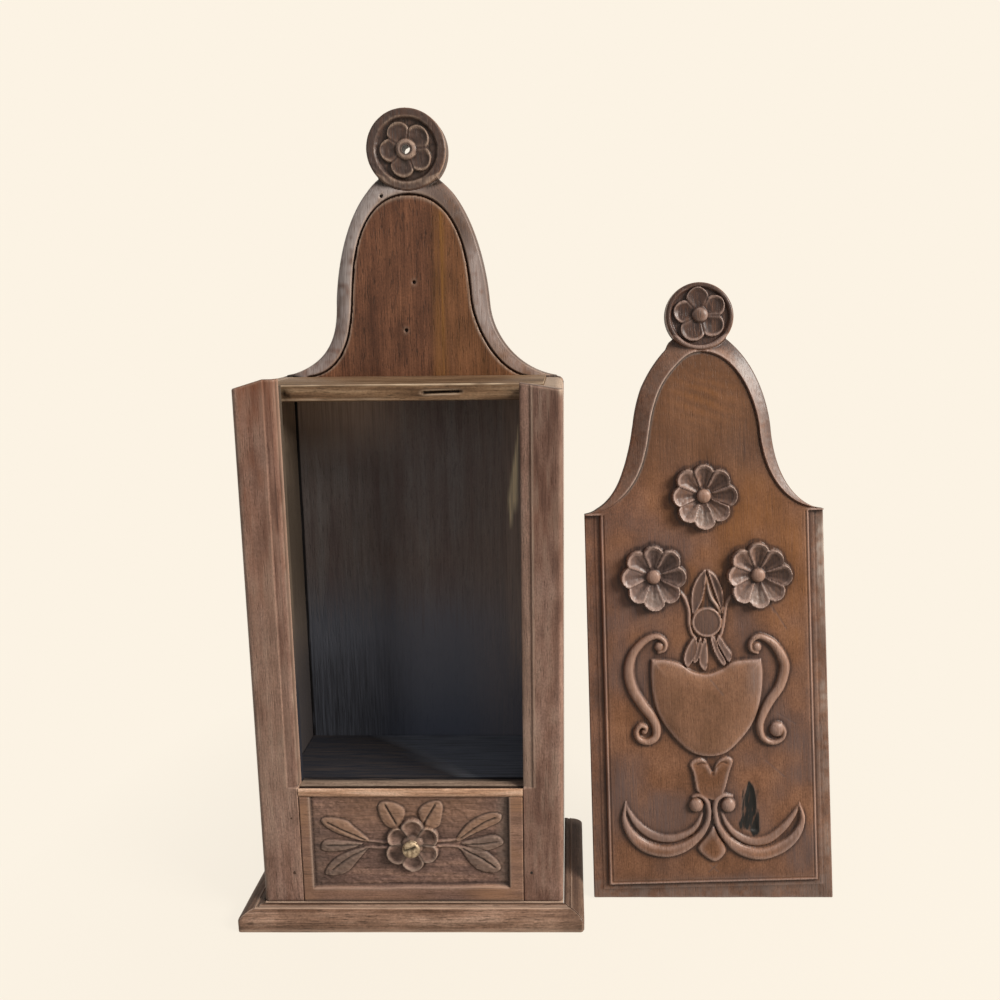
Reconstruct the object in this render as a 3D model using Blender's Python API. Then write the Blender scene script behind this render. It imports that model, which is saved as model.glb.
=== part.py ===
# A wall flour box of carved walnut. A narrow case on a moulded base holds flour behind a lid that slides
# in grooves, over a small drawer. The lid is drawn out and leans back beside the case.
# Frame: origin at the centre of the base's underside, +X right, +Y towards the wall, +Z up, metres.
import math

import bmesh
import bpy

for old in list(bpy.data.objects):
    bpy.data.objects.remove(old, do_unlink=True)

# Clearances
SEAT = 0.0003                 # between two pieces that touch
DRAWER_PLAY = 0.0005          # at each end of the drawer front
LID_PLAY = 0.0005             # before and behind the lid's tongue in its groove
LID_SIDE_PLAY = 0.0027        # between the lid's raised field and a stile

# Case
CASE_WIDTH = 0.250
CASE_HEIGHT = 0.4314          # base top to the stile tops at their outer edges
CASE_DEPTH = 0.1035           # stile faces to the back of the backboard
SIDE_THICKNESS = 0.015
SIDE_RISE = 0.0011            # side boards above the outer edges of the stile tops
BACK_THICKNESS = 0.0141
TOP_THICKNESS = 0.0135
TOP_RISE = 0.0031             # top board above the outer edges of the stile tops
FLOOR_THICKNESS = 0.008
BATTEN_WIDTH = 0.0147
BATTEN_THICKNESS = 0.0066
BOTTOM_BATTEN_HEIGHT = 0.0026

# Stiles and rail
STILE_WIDTH = 0.0328
STILE_THICKNESS = 0.010
STILE_SLOPE = math.radians(15)
STILE_CORNER = 0.004          # rounded outer front edge
STILE_OVOLO_WIDTH = 0.0085    # moulded inner front edge
STILE_OVOLO_DEPTH = 0.0045
RAIL_HEIGHT = 0.0073
NAIL_RADIUS = 0.0015
NAIL_LENGTH = 0.0155
NAIL_INSET = 0.0064           # from the stile's inner edge
NAIL_HEIGHTS = (0.027, 0.077)

# Base
BASE_THICKNESS = 0.0145
BASE_FRONT = 0.0152           # projection in front of the stiles
BASE_SIDE = 0.0175            # projection past the sides
BASE_FILLET = 0.0084          # upright face at the foot of the moulding
BASE_LIP = 0.36               # share of the projection that stays flat beside the case
BASE_LIP_STEP = 0.0012

# Crest of the backboard, measured up from the outer edges of the stile tops
CREST_WAIST = 0.064           # half widths and heights of the bell
CREST_WAIST_RISE = 0.070
CREST_NECK = 0.025
CREST_ROSETTE_RISE = 0.190
CREST_ROSETTE_RADIUS = 0.0335
CREST_BORDER = 0.014
CREST_BORDER_DEPTH = 0.0045
CREST_APEX_RISE = 0.1525      # top of the field inside the border
CREST_SHIFT = 0.0062          # the crest was cut off centre to the left, fully so from its waist upward
HANGING_HOLE = 0.0072

# Drawer
DRAWER_OPENING = 0.0962
DRAWER_HEAD = 0.0007          # gap over the drawer front
DRAWER_BACK_PLAY = 0.0014     # between the shut drawer and the backboard
DRAWER_WALL = 0.007
DRAWER_BOTTOM = 0.005
DRAWER_BOTTOM_RISE = 0.003
DRAWER_SIDE_HEAD = 0.003      # gap between the drawer sides and the floor board
PANEL_FRAME = 0.0120          # left standing at the ends of the sunk panel
PANEL_FOOT = 0.0125           # left standing below it
PANEL_DEPTH = 0.0045
KNOB_HEIGHT = 0.0515
KNOB_RADIUS = 0.0066
KNOB_NECK = 0.0042
KNOB_REACH = 0.0068
KNOB_SHANK = 0.0025
KNOB_SIDES = 20

# Lid, measured up from its foot
LID_TONGUE = 0.0112           # reach of the tongue behind each stile
TONGUE_THICKNESS = 0.005
LID_FIELD_RISE = 0.003        # raised field in front of the tongue
LID_FIELD_FOOT = 0.015
LID_WAIST = 0.060
LID_WAIST_RISE = 0.0695
LID_NECK = 0.0227
LID_ROSETTE_RISE = 0.1687
LID_ROSETTE_RADIUS = 0.0294
LID_BORDER = 0.0115
LID_APEX_RISE = 0.131
LID_GAP = 0.0078              # between the base and the lid that leans beside it
LID_SETBACK = 0.025           # stile faces to the back of the lid's foot
LID_TILT = math.radians(1.5)  # the foot was cut out of square, so the lid stands tilted to the left

# Carving
CARVE_ROOT = 0.0015           # how far a carved form runs into its board
ROSETTE_PETALS = 5
ROSETTE_PETAL_SHARE = 0.82    # of the rosette's radius
ROSETTE_RISE = 0.0015
BOSS_RADIUS = 0.009
BOSS_RISE = 0.0030
FLOWER_RADIUS = 0.028
FLOWER_PETALS = 8
FLOWER_RISE = 0.0040
FLOWER_SPREAD = 0.0452
FLOWER_TOP = 0.0130           # middle of the upper flower above the shoulders
FLOWER_DROP = 0.0560          # middles of the lower two below the shoulders
BUTTON_RADIUS = 0.0070
BUTTON_RISE = 0.0048
PETAL_NOTCH = 0.26
BALL_DROP = 0.0963
BALL_RADIUS = 0.0120
BALL_RISE = 0.0044
STEM_WIDTH = 0.0040
STEM_RISE = 0.0022
LEAF_RISE = 0.0028
URN_RIM = 0.2060
URN_HALF = 0.0475
URN_FOOT = 0.1240
URN_BULGE = 0.0060
URN_RISE = 0.0046
HANDLE_WIDTH = 0.0085
HANDLE_RISE = 0.0036
VOLUTE_RADIUS = 0.0062
VOLUTE_RISE = 0.0042
CRESCENT_WIDTH = 0.0135
CRESCENT_RISE = 0.0032
SPRAY_FOOT = 0.0850           # foot of the tulip under the urn
DRAWER_FLOWER_RADIUS = 0.0235
DRAWER_FLOWER_PETALS = 6
DRAWER_FLOWER_RISE = 0.0036
DRAWER_LEAF_RISE = 0.0026

# Places that follow from the sizes above
half_case = CASE_WIDTH / 2
half_inside = half_case - SIDE_THICKNESS
half_mouth = half_case - STILE_WIDTH
half_base = half_case + BASE_SIDE
base_depth = BASE_FRONT + CASE_DEPTH
drawer_length = CASE_DEPTH - BACK_THICKNESS - DRAWER_BACK_PLAY
y_front = BASE_FRONT - base_depth / 2
y_back = base_depth / 2
y_groove = y_front + STILE_THICKNESS
y_batten = y_groove + TONGUE_THICKNESS + 2 * LID_PLAY
y_inside = y_batten + BATTEN_THICKNESS
y_panel = y_back - BACK_THICKNESS
z_base = BASE_THICKNESS
z_rail = z_base + DRAWER_OPENING
z_floor = z_rail - SEAT
z_shoulder = z_base + CASE_HEIGHT

# Finishes: old oiled walnut in several tones, pale brass and iron
TONES = {
    "case_walnut": ((0.185, 0.106, 0.072), 0.48, 0.0),
    "crest_walnut": ((0.115, 0.056, 0.033), 0.46, 0.0),
    "inner_walnut": ((0.034, 0.028, 0.027), 0.75, 0.0),
    "base_walnut": ((0.235, 0.150, 0.105), 0.50, 0.0),
    "rail_walnut": ((0.440, 0.255, 0.150), 0.45, 0.0),
    "drawer_walnut": ((0.190, 0.110, 0.078), 0.48, 0.0),
    "lid_walnut": ((0.200, 0.096, 0.052), 0.42, 0.0),
    "knob_brass": ((0.560, 0.440, 0.250), 0.35, 1.0),
    "nail_iron": ((0.045, 0.040, 0.038), 0.60, 1.0),
}


# Mesh helpers
def finish_for(name, tone):
    colour, roughness, metallic = TONES[tone]
    material = bpy.data.materials.new(name + "_" + tone)
    material.use_nodes = True
    shader = material.node_tree.nodes["Principled BSDF"]
    shader.inputs["Base Color"].default_value = (*colour, 1.0)
    shader.inputs["Roughness"].default_value = roughness
    shader.inputs["Metallic"].default_value = metallic
    return material


def add_piece(name, bm, tone=None, parent=None):
    bmesh.ops.recalc_face_normals(bm, faces=bm.faces)
    mesh = bpy.data.meshes.new(name)
    bm.to_mesh(mesh)
    bm.free()
    piece = bpy.data.objects.new(name, mesh)
    bpy.context.collection.objects.link(piece)
    piece.parent = parent
    if tone:
        mesh.materials.append(finish_for(name, tone))
    return piece


def loft(low_ring, high_ring):
    bm = bmesh.new()
    low = [bm.verts.new(point) for point in low_ring]
    high = [bm.verts.new(point) for point in high_ring]
    bm.faces.new(low)
    bm.faces.new(list(reversed(high)))
    for i, corner in enumerate(low):
        j = (i + 1) % len(low)
        bm.faces.new((corner, high[i], high[j], low[j]))
    return bm


def block(low, high):
    (x0, y0, z0), (x1, y1, z1) = low, high
    corners = ((x0, y0), (x1, y0), (x1, y1), (x0, y1))
    return loft([(x, y, z0) for x, y in corners], [(x, y, z1) for x, y in corners])


def slab(outline, y_from, y_to):
    return loft([(x, y_from, z) for x, z in outline], [(x, y_to, z) for x, z in outline])


def turned(profile, x, z, sides):
    bm = bmesh.new()
    rings = []
    for radius, y in profile:
        turn = [2 * math.pi * i / sides for i in range(sides)]
        rings.append([bm.verts.new((x + radius * math.cos(a), y, z + radius * math.sin(a))) for a in turn])
    bm.faces.new(rings[0])
    bm.faces.new(list(reversed(rings[-1])))
    for ring, following in zip(rings, rings[1:]):
        for i in range(sides):
            j = (i + 1) % sides
            bm.faces.new((ring[i], following[i], following[j], ring[j]))
    return bm


def combine(piece, bm, operation):
    tool = add_piece("tool", bm, parent=piece.parent)
    modifier = piece.modifiers.new("Combine", "BOOLEAN")
    modifier.operation = operation
    modifier.solver = "EXACT"
    modifier.object = tool
    bpy.context.view_layer.update()
    result = bpy.data.meshes.new_from_object(piece.evaluated_get(bpy.context.evaluated_depsgraph_get()))
    result.name = piece.name
    piece.modifiers.remove(modifier)
    piece.data = result
    bpy.data.objects.remove(tool, do_unlink=True)


def join(piece, bm):
    combine(piece, bm, "UNION")


def cut(piece, bm):
    combine(piece, bm, "DIFFERENCE")


def smooth(piece):
    piece.data.shade_smooth()
    piece.data.set_sharp_from_angle(angle=math.radians(35))


# Outlines in the plane of a board, as (across, up) points
def bezier(start, pull, push, end, steps):
    points = []
    for i in range(1, steps + 1):
        t = i / steps
        weights = ((1 - t) ** 3, 3 * t * (1 - t) ** 2, 3 * t * t * (1 - t), t ** 3)
        points.append(tuple(sum(w * p[k] for w, p in zip(weights, (start, pull, push, end))) for k in (0, 1)))
    return points


def bell(foot, waist, waist_rise, neck, neck_rise, fall=0.245):
    # right half of the crest: a hollow flare up to the waist, then a round shoulder up to the neck,
    # which arrives there level where its fall is 0
    rise = neck_rise - waist_rise
    low_pull = (waist + 0.43 * (foot - waist), 0.04 * waist_rise)
    low_push = (waist + 0.0025, 0.43 * waist_rise)
    high_pull = (waist - 0.0015, waist_rise + 0.31 * rise)
    high_push = (neck + 0.67 * (waist - neck), neck_rise - fall * rise)
    flare = bezier((foot, 0.0), low_pull, low_push, (waist, waist_rise), 6)
    return flare + bezier((waist, waist_rise), high_pull, high_push, (neck, neck_rise), 6)


def circle(x, z, radius, sides=16):
    turn = [2 * math.pi * i / sides for i in range(sides)]
    return [(x + radius * math.cos(a), z + radius * math.sin(a)) for a in turn]


def crest_outline(foot, foot_rise, waist, waist_rise, neck, rosette_rise, rosette_radius):
    # from the right foot of the bell over the rosette to the left foot
    neck_rise = rosette_rise - math.sqrt(rosette_radius ** 2 - neck ** 2)
    right = [(x, foot_rise + z) for x, z in bell(foot, waist, waist_rise, neck, neck_rise)]
    start = math.atan2(neck_rise - rosette_rise, neck)
    sweep = math.pi - 2 * start
    arc_steps = 20
    arc = []
    for i in range(1, arc_steps):
        angle = start + sweep * i / arc_steps
        x = rosette_radius * math.cos(angle)
        arc.append((x, foot_rise + rosette_rise + rosette_radius * math.sin(angle)))
    return right + arc + [(-x, z) for x, z in reversed(right)]


def field_outline(half, foot, shoulder, waist, waist_rise, apex_rise):
    # the flat ground inside the border, closed by a round arch under the rosette
    right = [(x, shoulder + z) for x, z in bell(half, waist, waist_rise, 0.0, apex_rise, 0.0)]
    left = [(-x, z) for x, z in reversed(right[:-1])]
    return [(-half, foot), (half, foot), (half, shoulder)] + right + left + [(-half, shoulder)]


def flower(x, z, radius, petals, turn=math.pi / 2):
    steps = petals * 4
    points = []
    for i in range(steps):
        angle = 2 * math.pi * i / steps
        reach = radius * (1 - PETAL_NOTCH * (1 - abs(math.cos(petals * angle / 2))))
        points.append((x + reach * math.cos(angle + turn), z + reach * math.sin(angle + turn)))
    return points


def leaf(x, z, length, width, lean):
    # a pointed leaf from its stalk at (x, z), leaning clockwise from upright
    along = (math.sin(lean), math.cos(lean))
    across = (along[1], -along[0])
    shape = ((0.0, 0.12), (0.22, 0.38), (0.5, 0.5), (0.78, 0.34))
    side = [(s * length, w * width) for s, w in shape]
    ring = side + [(length, 0.0)] + [(s, -w) for s, w in reversed(side)]
    return [(x + s * along[0] + w * across[0], z + s * along[1] + w * across[1]) for s, w in ring]


def ribbon(line, widths):
    # a band along a line of points, as wide at each point as stated
    right, left = [], []
    for i, (x, z) in enumerate(line):
        before = line[max(i - 1, 0)]
        after = line[min(i + 1, len(line) - 1)]
        run = math.hypot(after[0] - before[0], after[1] - before[1])
        normal = ((after[1] - before[1]) / run, (before[0] - after[0]) / run)
        half = widths[i] / 2
        right.append((x + normal[0] * half, z + normal[1] * half))
        left.append((x - normal[0] * half, z - normal[1] * half))
    return right + left[::-1]


def mirrored(outline):
    return [(-x, z) for x, z in reversed(outline)]


def carve(board, outline, y_face, rise):
    join(board, slab(outline, y_face + CARVE_ROOT, y_face - rise))


def carve_pair(board, outline, y_face, rise):
    carve(board, outline, y_face, rise)
    carve(board, mirrored(outline), y_face, rise)


def carve_rosette(board, x, z, radius, y_face):
    carve(board, flower(x, z, ROSETTE_PETAL_SHARE * radius, ROSETTE_PETALS), y_face, ROSETTE_RISE)
    carve(board, circle(x, z, BOSS_RADIUS), y_face, BOSS_RISE)


# Base: a plain board with a mitred moulding round its front and sides
def base_profile():
    # (share of the projection, height), from the inner foot out, up and back in over an ovolo
    points = [(0.0, 0.0), (1.0, 0.0), (1.0, BASE_FILLET)]
    rise = BASE_THICKNESS - BASE_LIP_STEP - BASE_FILLET
    ovolo_steps = 4
    for i in range(1, ovolo_steps + 1):
        angle = math.pi / 2 * i / ovolo_steps
        points.append((BASE_LIP + (1 - BASE_LIP) * math.cos(angle), BASE_FILLET + rise * math.sin(angle)))
    return points + [(BASE_LIP, BASE_THICKNESS), (0.0, BASE_THICKNESS)]


def make_base():
    add_piece("base_board", block((-half_case, y_front, 0.0), (half_case, y_back, z_base)), "base_walnut")
    profile = base_profile()
    front_right = [(half_case + t * BASE_SIDE, y_front - SEAT - t * (BASE_FRONT - SEAT), z) for t, z in profile]
    front_left = [(-x, y, z) for x, y, z in front_right]
    add_piece("base_moulding_front", loft(front_left, front_right), "base_walnut")
    for name, hand in (("base_moulding_left", -1), ("base_moulding_right", 1)):
        ends = []
        for t, z in profile:
            x = hand * (half_case + SEAT + t * (BASE_SIDE - SEAT))
            ends.append((x, y_front + SEAT - t * BASE_FRONT, z))
        back = [(x, y_back, z) for x, y, z in ends]
        add_piece(name, loft(ends, back), "base_walnut")


# Case: sides, stiles, battens, boards and rail
def make_side(name, hand):
    inner, outer = sorted((hand * half_inside, hand * half_case))
    low = (inner, y_groove + SEAT, z_base + SEAT)
    high = (outer, y_panel - SEAT, z_shoulder + SIDE_RISE)
    add_piece(name, block(low, high), "case_walnut")


def make_stile(name, hand):
    plan = [(half_mouth, y_front), (half_mouth, y_groove), (half_case, y_groove)]
    corner_steps = 4
    for i in range(corner_steps + 1):
        angle = math.pi / 2 * i / corner_steps
        x = half_case - STILE_CORNER + STILE_CORNER * math.cos(angle)
        plan.append((x, y_front + STILE_CORNER - STILE_CORNER * math.sin(angle)))
    foot = [(hand * x, y, z_base + SEAT) for x, y in plan]
    head = [(hand * x, y, z_shoulder + (half_case - x) * math.tan(STILE_SLOPE)) for x, y in plan]
    stile = add_piece(name, loft(foot, head), "case_walnut")
    # the moulded inner edge runs from the rail upward and stops there
    spare = STILE_OVOLO_DEPTH
    edge = [(half_mouth - spare, y_front - spare), (half_mouth + STILE_OVOLO_WIDTH, y_front - spare)]
    ovolo_steps = 5
    for i in range(ovolo_steps + 1):
        angle = math.pi / 2 * (1 - i / ovolo_steps)
        x = half_mouth + STILE_OVOLO_WIDTH * (1 - math.cos(angle))
        edge.append((x, y_front + STILE_OVOLO_DEPTH * (1 - math.sin(angle))))
    edge.append((half_mouth - spare, y_front + STILE_OVOLO_DEPTH))
    z_stop = z_rail + RAIL_HEIGHT
    z_end = z_shoulder + STILE_WIDTH
    cut(stile, loft([(hand * x, y, z_stop) for x, y in edge], [(hand * x, y, z_end) for x, y in edge]))
    cut_nail_holes(stile, hand)
    return stile


def nail_at(hand, height, radius, y_end):
    x = hand * (half_mouth + NAIL_INSET)
    return turned([(radius, y_front), (radius, y_end)], x, z_base + height, 10)


def cut_nail_holes(piece, hand):
    for height in NAIL_HEIGHTS:
        hole = nail_at(hand, height, NAIL_RADIUS + SEAT, y_front + NAIL_LENGTH + SEAT)
        bmesh.ops.translate(hole, verts=[v for v in hole.verts if v.co.y < y_groove], vec=(0, -SEAT, 0))
        cut(piece, hole)


def make_nails(side, hand):
    for place, height in zip(("low", "high"), NAIL_HEIGHTS):
        nail = nail_at(hand, height, NAIL_RADIUS, y_front + NAIL_LENGTH)
        smooth(add_piece(side + "_stile_nail_" + place, nail, "nail_iron"))


def make_guide(name, hand):
    inner, outer = sorted((hand * half_mouth, hand * (half_inside - SEAT)))
    low = (inner, y_groove + SEAT, z_base + SEAT)
    high = (outer, y_panel - SEAT, z_floor - FLOOR_THICKNESS - SEAT)
    cut_nail_holes(add_piece(name, block(low, high), "inner_walnut"), hand)


def make_battens():
    outer = half_inside - SEAT
    inner = outer - BATTEN_WIDTH
    foot = z_floor + SEAT
    for name, hand in (("left_batten", -1), ("right_batten", 1)):
        x0, x1 = sorted((hand * inner, hand * outer))
        high = (x1, y_inside, z_shoulder + SIDE_RISE)
        add_piece(name, block((x0, y_batten, foot), high), "inner_walnut")
    low = (SEAT - inner, y_batten, foot)
    high = (inner - SEAT, y_inside, foot + BOTTOM_BATTEN_HEIGHT)
    add_piece("bottom_batten", block(low, high), "base_walnut")


def make_boards():
    half = half_inside - SEAT
    z_top = z_shoulder + TOP_RISE
    low = (-half, y_inside + SEAT, z_top - TOP_THICKNESS)
    add_piece("top_board", block(low, (half, y_panel - SEAT, z_top)), "case_walnut")
    low = (-half, y_groove + SEAT, z_floor - FLOOR_THICKNESS)
    add_piece("floor_board", block(low, (half, y_panel - SEAT, z_floor)), "inner_walnut")


def make_rail():
    # a thin strip with a round nose
    radius = RAIL_HEIGHT / 2
    section = [(y_groove, z_rail + RAIL_HEIGHT), (y_groove, z_rail)]
    nose_steps = 6
    for i in range(nose_steps + 1):
        angle = math.pi * i / nose_steps
        y = y_front + radius - radius * math.sin(angle)
        section.append((y, z_rail + radius - radius * math.cos(angle)))
    half = half_mouth - SEAT
    left = [(-half, y, z) for y, z in section]
    add_piece("front_rail", loft(left, [(half, y, z) for y, z in section]), "rail_walnut")


def make_backboard():
    def shifted(outline):
        points = []
        for x, z in outline:
            t = min(max((z - z_shoulder) / CREST_WAIST_RISE, 0.0), 1.0)
            points.append((x - CREST_SHIFT * t * t * (3 - 2 * t), z))
        return points

    crest = crest_outline(half_case, z_shoulder + SIDE_RISE, CREST_WAIST, CREST_WAIST_RISE, CREST_NECK,
                          CREST_ROSETTE_RISE, CREST_ROSETTE_RADIUS)
    foot = z_base + SEAT
    outline = [(-half_case, foot), (half_case, foot), (half_case, z_shoulder + SIDE_RISE)]
    outline += crest + [(-half_case, z_shoulder + SIDE_RISE)]
    y_border = y_panel + CREST_BORDER_DEPTH
    board = add_piece("backboard", slab(shifted(outline), y_back, y_border), "crest_walnut")
    join(board, block((-half_case, y_panel, foot), (half_case, y_border + CARVE_ROOT, z_shoulder)))
    field = field_outline(half_case - 2 * CREST_BORDER, z_shoulder - CREST_BORDER, z_shoulder,
                          CREST_WAIST - CREST_BORDER, CREST_WAIST_RISE, CREST_APEX_RISE)
    join(board, slab(shifted(field), y_border + CARVE_ROOT, y_panel))
    x = -CREST_SHIFT
    z = z_shoulder + SIDE_RISE + CREST_ROSETTE_RISE
    join(board, slab(circle(x, z, CREST_ROSETTE_RADIUS - SEAT, 24), y_border + CARVE_ROOT, y_panel))
    carve_rosette(board, x, z, CREST_ROSETTE_RADIUS, y_panel)
    cut(board, slab(circle(x, z, HANGING_HOLE / 2, 12), y_back + BACK_THICKNESS, y_panel - BACK_THICKNESS))


# Drawer, built from the middle of its front face at the foot of the opening
def make_drawer():
    drawer = bpy.data.objects.new("drawer", None)
    bpy.context.collection.objects.link(drawer)
    drawer.location = (0.0, y_front, z_base)
    bpy.context.view_layer.update()
    half = half_mouth - DRAWER_PLAY
    top = DRAWER_OPENING - DRAWER_HEAD
    front = add_piece("drawer_front", block((-half, 0.0, SEAT), (half, STILE_THICKNESS, top)),
                      "drawer_walnut", drawer)
    carve_drawer_front(front, half, top)

    side_top = DRAWER_OPENING - SEAT - FLOOR_THICKNESS - DRAWER_SIDE_HEAD
    box_front = STILE_THICKNESS + SEAT
    inner = half - DRAWER_WALL
    for name, hand in (("drawer_left_side", -1), ("drawer_right_side", 1)):
        x0, x1 = sorted((hand * inner, hand * half))
        add_piece(name, block((x0, box_front, SEAT), (x1, drawer_length, side_top)), "inner_walnut", drawer)
    low = (SEAT - inner, drawer_length - DRAWER_WALL, SEAT)
    add_piece("drawer_back", block(low, (inner - SEAT, drawer_length, side_top)), "inner_walnut", drawer)
    low = (SEAT - inner, box_front, DRAWER_BOTTOM_RISE)
    high = (inner - SEAT, drawer_length - DRAWER_WALL - SEAT, DRAWER_BOTTOM_RISE + DRAWER_BOTTOM)
    add_piece("drawer_bottom", block(low, high), "inner_walnut", drawer)
    make_knob(drawer)


def carve_drawer_front(front, half, top):
    low = (PANEL_FRAME - half, -PANEL_DEPTH, PANEL_FOOT)
    cut(front, block(low, (half - PANEL_FRAME, PANEL_DEPTH, top + PANEL_DEPTH)))
    carve(front, flower(0.0, KNOB_HEIGHT, DRAWER_FLOWER_RADIUS, DRAWER_FLOWER_PETALS),
          PANEL_DEPTH, DRAWER_FLOWER_RISE)
    for hand in (-1, 1):
        # two short leaves over the flower and a spray of long ones at each side
        sprays = (
            (0.009, 0.018, 0.0265, 0.016, math.radians(34)),
            (0.020, 0.003, 0.058, 0.013, math.radians(65)),
            (0.022, -0.001, 0.053, 0.012, math.radians(88)),
            (0.020, -0.004, 0.056, 0.014, math.radians(113)),
        )
        for x, z, length, width, lean in sprays:
            shape = leaf(hand * x, KNOB_HEIGHT + z, length, width, hand * lean)
            carve(front, shape, PANEL_DEPTH, DRAWER_LEAF_RISE)
    hole = circle(0.0, KNOB_HEIGHT, KNOB_SHANK + SEAT, 12)
    cut(front, slab(hole, -STILE_THICKNESS, 2 * STILE_THICKNESS))


def make_knob(drawer):
    y_seat = PANEL_DEPTH - DRAWER_FLOWER_RISE - SEAT
    reach = y_seat - KNOB_REACH
    profile = [
        (KNOB_SHANK, STILE_THICKNESS),
        (KNOB_SHANK, y_seat),
        (KNOB_NECK, y_seat),
        (KNOB_NECK, y_seat - 0.30 * KNOB_REACH),
        (KNOB_RADIUS, y_seat - 0.48 * KNOB_REACH),
        (KNOB_RADIUS, y_seat - 0.68 * KNOB_REACH),
        (0.80 * KNOB_RADIUS, y_seat - 0.90 * KNOB_REACH),
        (0.40 * KNOB_RADIUS, reach),
    ]
    knob = turned(profile, 0.0, KNOB_HEIGHT, KNOB_SIDES)
    smooth(add_piece("drawer_knob", knob, "knob_brass", drawer))


# Lid, built from the middle of its foot, with its back in the plane y = 0
def make_lid():
    tongue = half_mouth + LID_TONGUE
    shoulder = CASE_HEIGHT - DRAWER_OPENING
    skew = tongue * math.tan(LID_TILT)
    crest = crest_outline(tongue, shoulder, LID_WAIST, LID_WAIST_RISE, LID_NECK,
                          LID_ROSETTE_RISE, LID_ROSETTE_RADIUS)
    outline = [(-tongue, skew), (tongue, -skew), (tongue, shoulder)] + crest + [(-tongue, shoulder)]
    lid = add_piece("lid_board", slab(outline, 0.0, -TONGUE_THICKNESS), "lid_walnut")
    y_face = -TONGUE_THICKNESS - LID_FIELD_RISE
    y_root = CARVE_ROOT - TONGUE_THICKNESS
    half_field = half_mouth - LID_SIDE_PLAY
    field = field_outline(half_field, LID_FIELD_FOOT, shoulder - LID_BORDER / 2, LID_WAIST - LID_BORDER,
                          LID_WAIST_RISE, LID_APEX_RISE + LID_BORDER / 2)
    join(lid, slab(field, y_root, y_face))
    z_rosette = shoulder + LID_ROSETTE_RISE
    join(lid, slab(circle(0.0, z_rosette, LID_ROSETTE_RADIUS - SEAT, 24), y_root, y_face))
    carve_rosette(lid, 0.0, z_rosette, LID_ROSETTE_RADIUS, y_face)
    carve_flowers(lid, shoulder, y_face)
    carve_urn(lid, y_face)
    carve_spray(lid, y_face)

    height = z_rosette + LID_ROSETTE_RADIUS
    lean = math.asin((CASE_DEPTH - LID_SETBACK) / height)
    lid.rotation_mode = "YXZ"
    lid.rotation_euler = (-lean, -LID_TILT, 0.0)
    lid.location = (half_base + LID_GAP + tongue, y_front + LID_SETBACK, 0.0)


def carve_flowers(lid, shoulder, y_face):
    z_top = shoulder + FLOWER_TOP
    z_low = shoulder - FLOWER_DROP
    z_ball = shoulder - BALL_DROP
    bud_foot = z_ball + BALL_RADIUS
    # stems first, then what lies over them
    carve(lid, ribbon([(0.0, bud_foot), (0.0, z_top)], [STEM_WIDTH] * 2), y_face, STEM_RISE)
    stem = [(0.0, z_ball)] + bezier((0.0, z_ball), (0.016, z_ball), (FLOWER_SPREAD, z_ball),
                                    (FLOWER_SPREAD, z_low), 6)
    carve_pair(lid, ribbon(stem, [STEM_WIDTH] * len(stem)), y_face, STEM_RISE)
    for x, z in ((0.0, z_top), (-FLOWER_SPREAD, z_low), (FLOWER_SPREAD, z_low)):
        carve(lid, flower(x, z, FLOWER_RADIUS, FLOWER_PETALS), y_face, FLOWER_RISE)
        carve(lid, circle(x, z, BUTTON_RADIUS, 12), y_face, BUTTON_RISE)
    carve(lid, leaf(0.0, bud_foot, 0.033, 0.011, 0.0), y_face, LEAF_RISE)
    carve_pair(lid, leaf(0.002, bud_foot, 0.028, 0.010, math.radians(24)), y_face, LEAF_RISE)
    carve(lid, circle(0.0, z_ball, BALL_RADIUS), y_face, BALL_RISE)
    carve_pair(lid, leaf(0.004, z_ball - BALL_RADIUS, 0.030, 0.011, math.radians(142)), y_face, LEAF_RISE)


def carve_urn(lid, y_face):
    side = bezier((URN_HALF, URN_RIM), (URN_HALF + URN_BULGE, URN_RIM - 0.030), (0.026, URN_FOOT + 0.008),
                  (0.0, URN_FOOT), 8)
    bowl = [(URN_HALF, URN_RIM)] + side + [(-x, z) for x, z in reversed(side[:-1])] + [(-URN_HALF, URN_RIM)]
    carve(lid, bowl, y_face, URN_RISE)
    # each handle is an S that starts in a volute over the rim and ends in one beside the foot
    top_volute = (URN_HALF - 0.007, URN_RIM + 0.012)
    low_volute = (URN_HALF + 0.0105, URN_RIM - 0.060)
    crown = (URN_HALF + 0.006, URN_RIM + 0.020)
    bend = (URN_HALF + 0.0225, URN_RIM - 0.006)
    waist = (URN_HALF + 0.004, URN_RIM - 0.046)
    toe = (URN_HALF + 0.011, URN_RIM - 0.071)
    line = [crown]
    line += bezier(crown, (crown[0] + 0.010, crown[1]), (bend[0], bend[1] + 0.012), bend, 4)
    line += bezier(bend, (bend[0], bend[1] - 0.016), (waist[0], waist[1] + 0.018), waist, 4)
    line += bezier(waist, (waist[0], waist[1] - 0.012), (toe[0] - 0.006, toe[1]), toe, 3)
    widths = [HANDLE_WIDTH * (0.75 + 0.25 * math.sin(math.pi * i / (len(line) - 1))) for i in range(len(line))]
    carve_pair(lid, ribbon(line, widths), y_face, HANDLE_RISE)
    hook = [top_volute, ((top_volute[0] + crown[0]) / 2, crown[1] - 0.001), crown]
    carve_pair(lid, ribbon(hook, [HANDLE_WIDTH * 0.75] * 3), y_face, HANDLE_RISE)
    for x, z in (top_volute, low_volute):
        carve_pair(lid, circle(x, z, VOLUTE_RADIUS, 12), y_face, VOLUTE_RISE)


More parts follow.
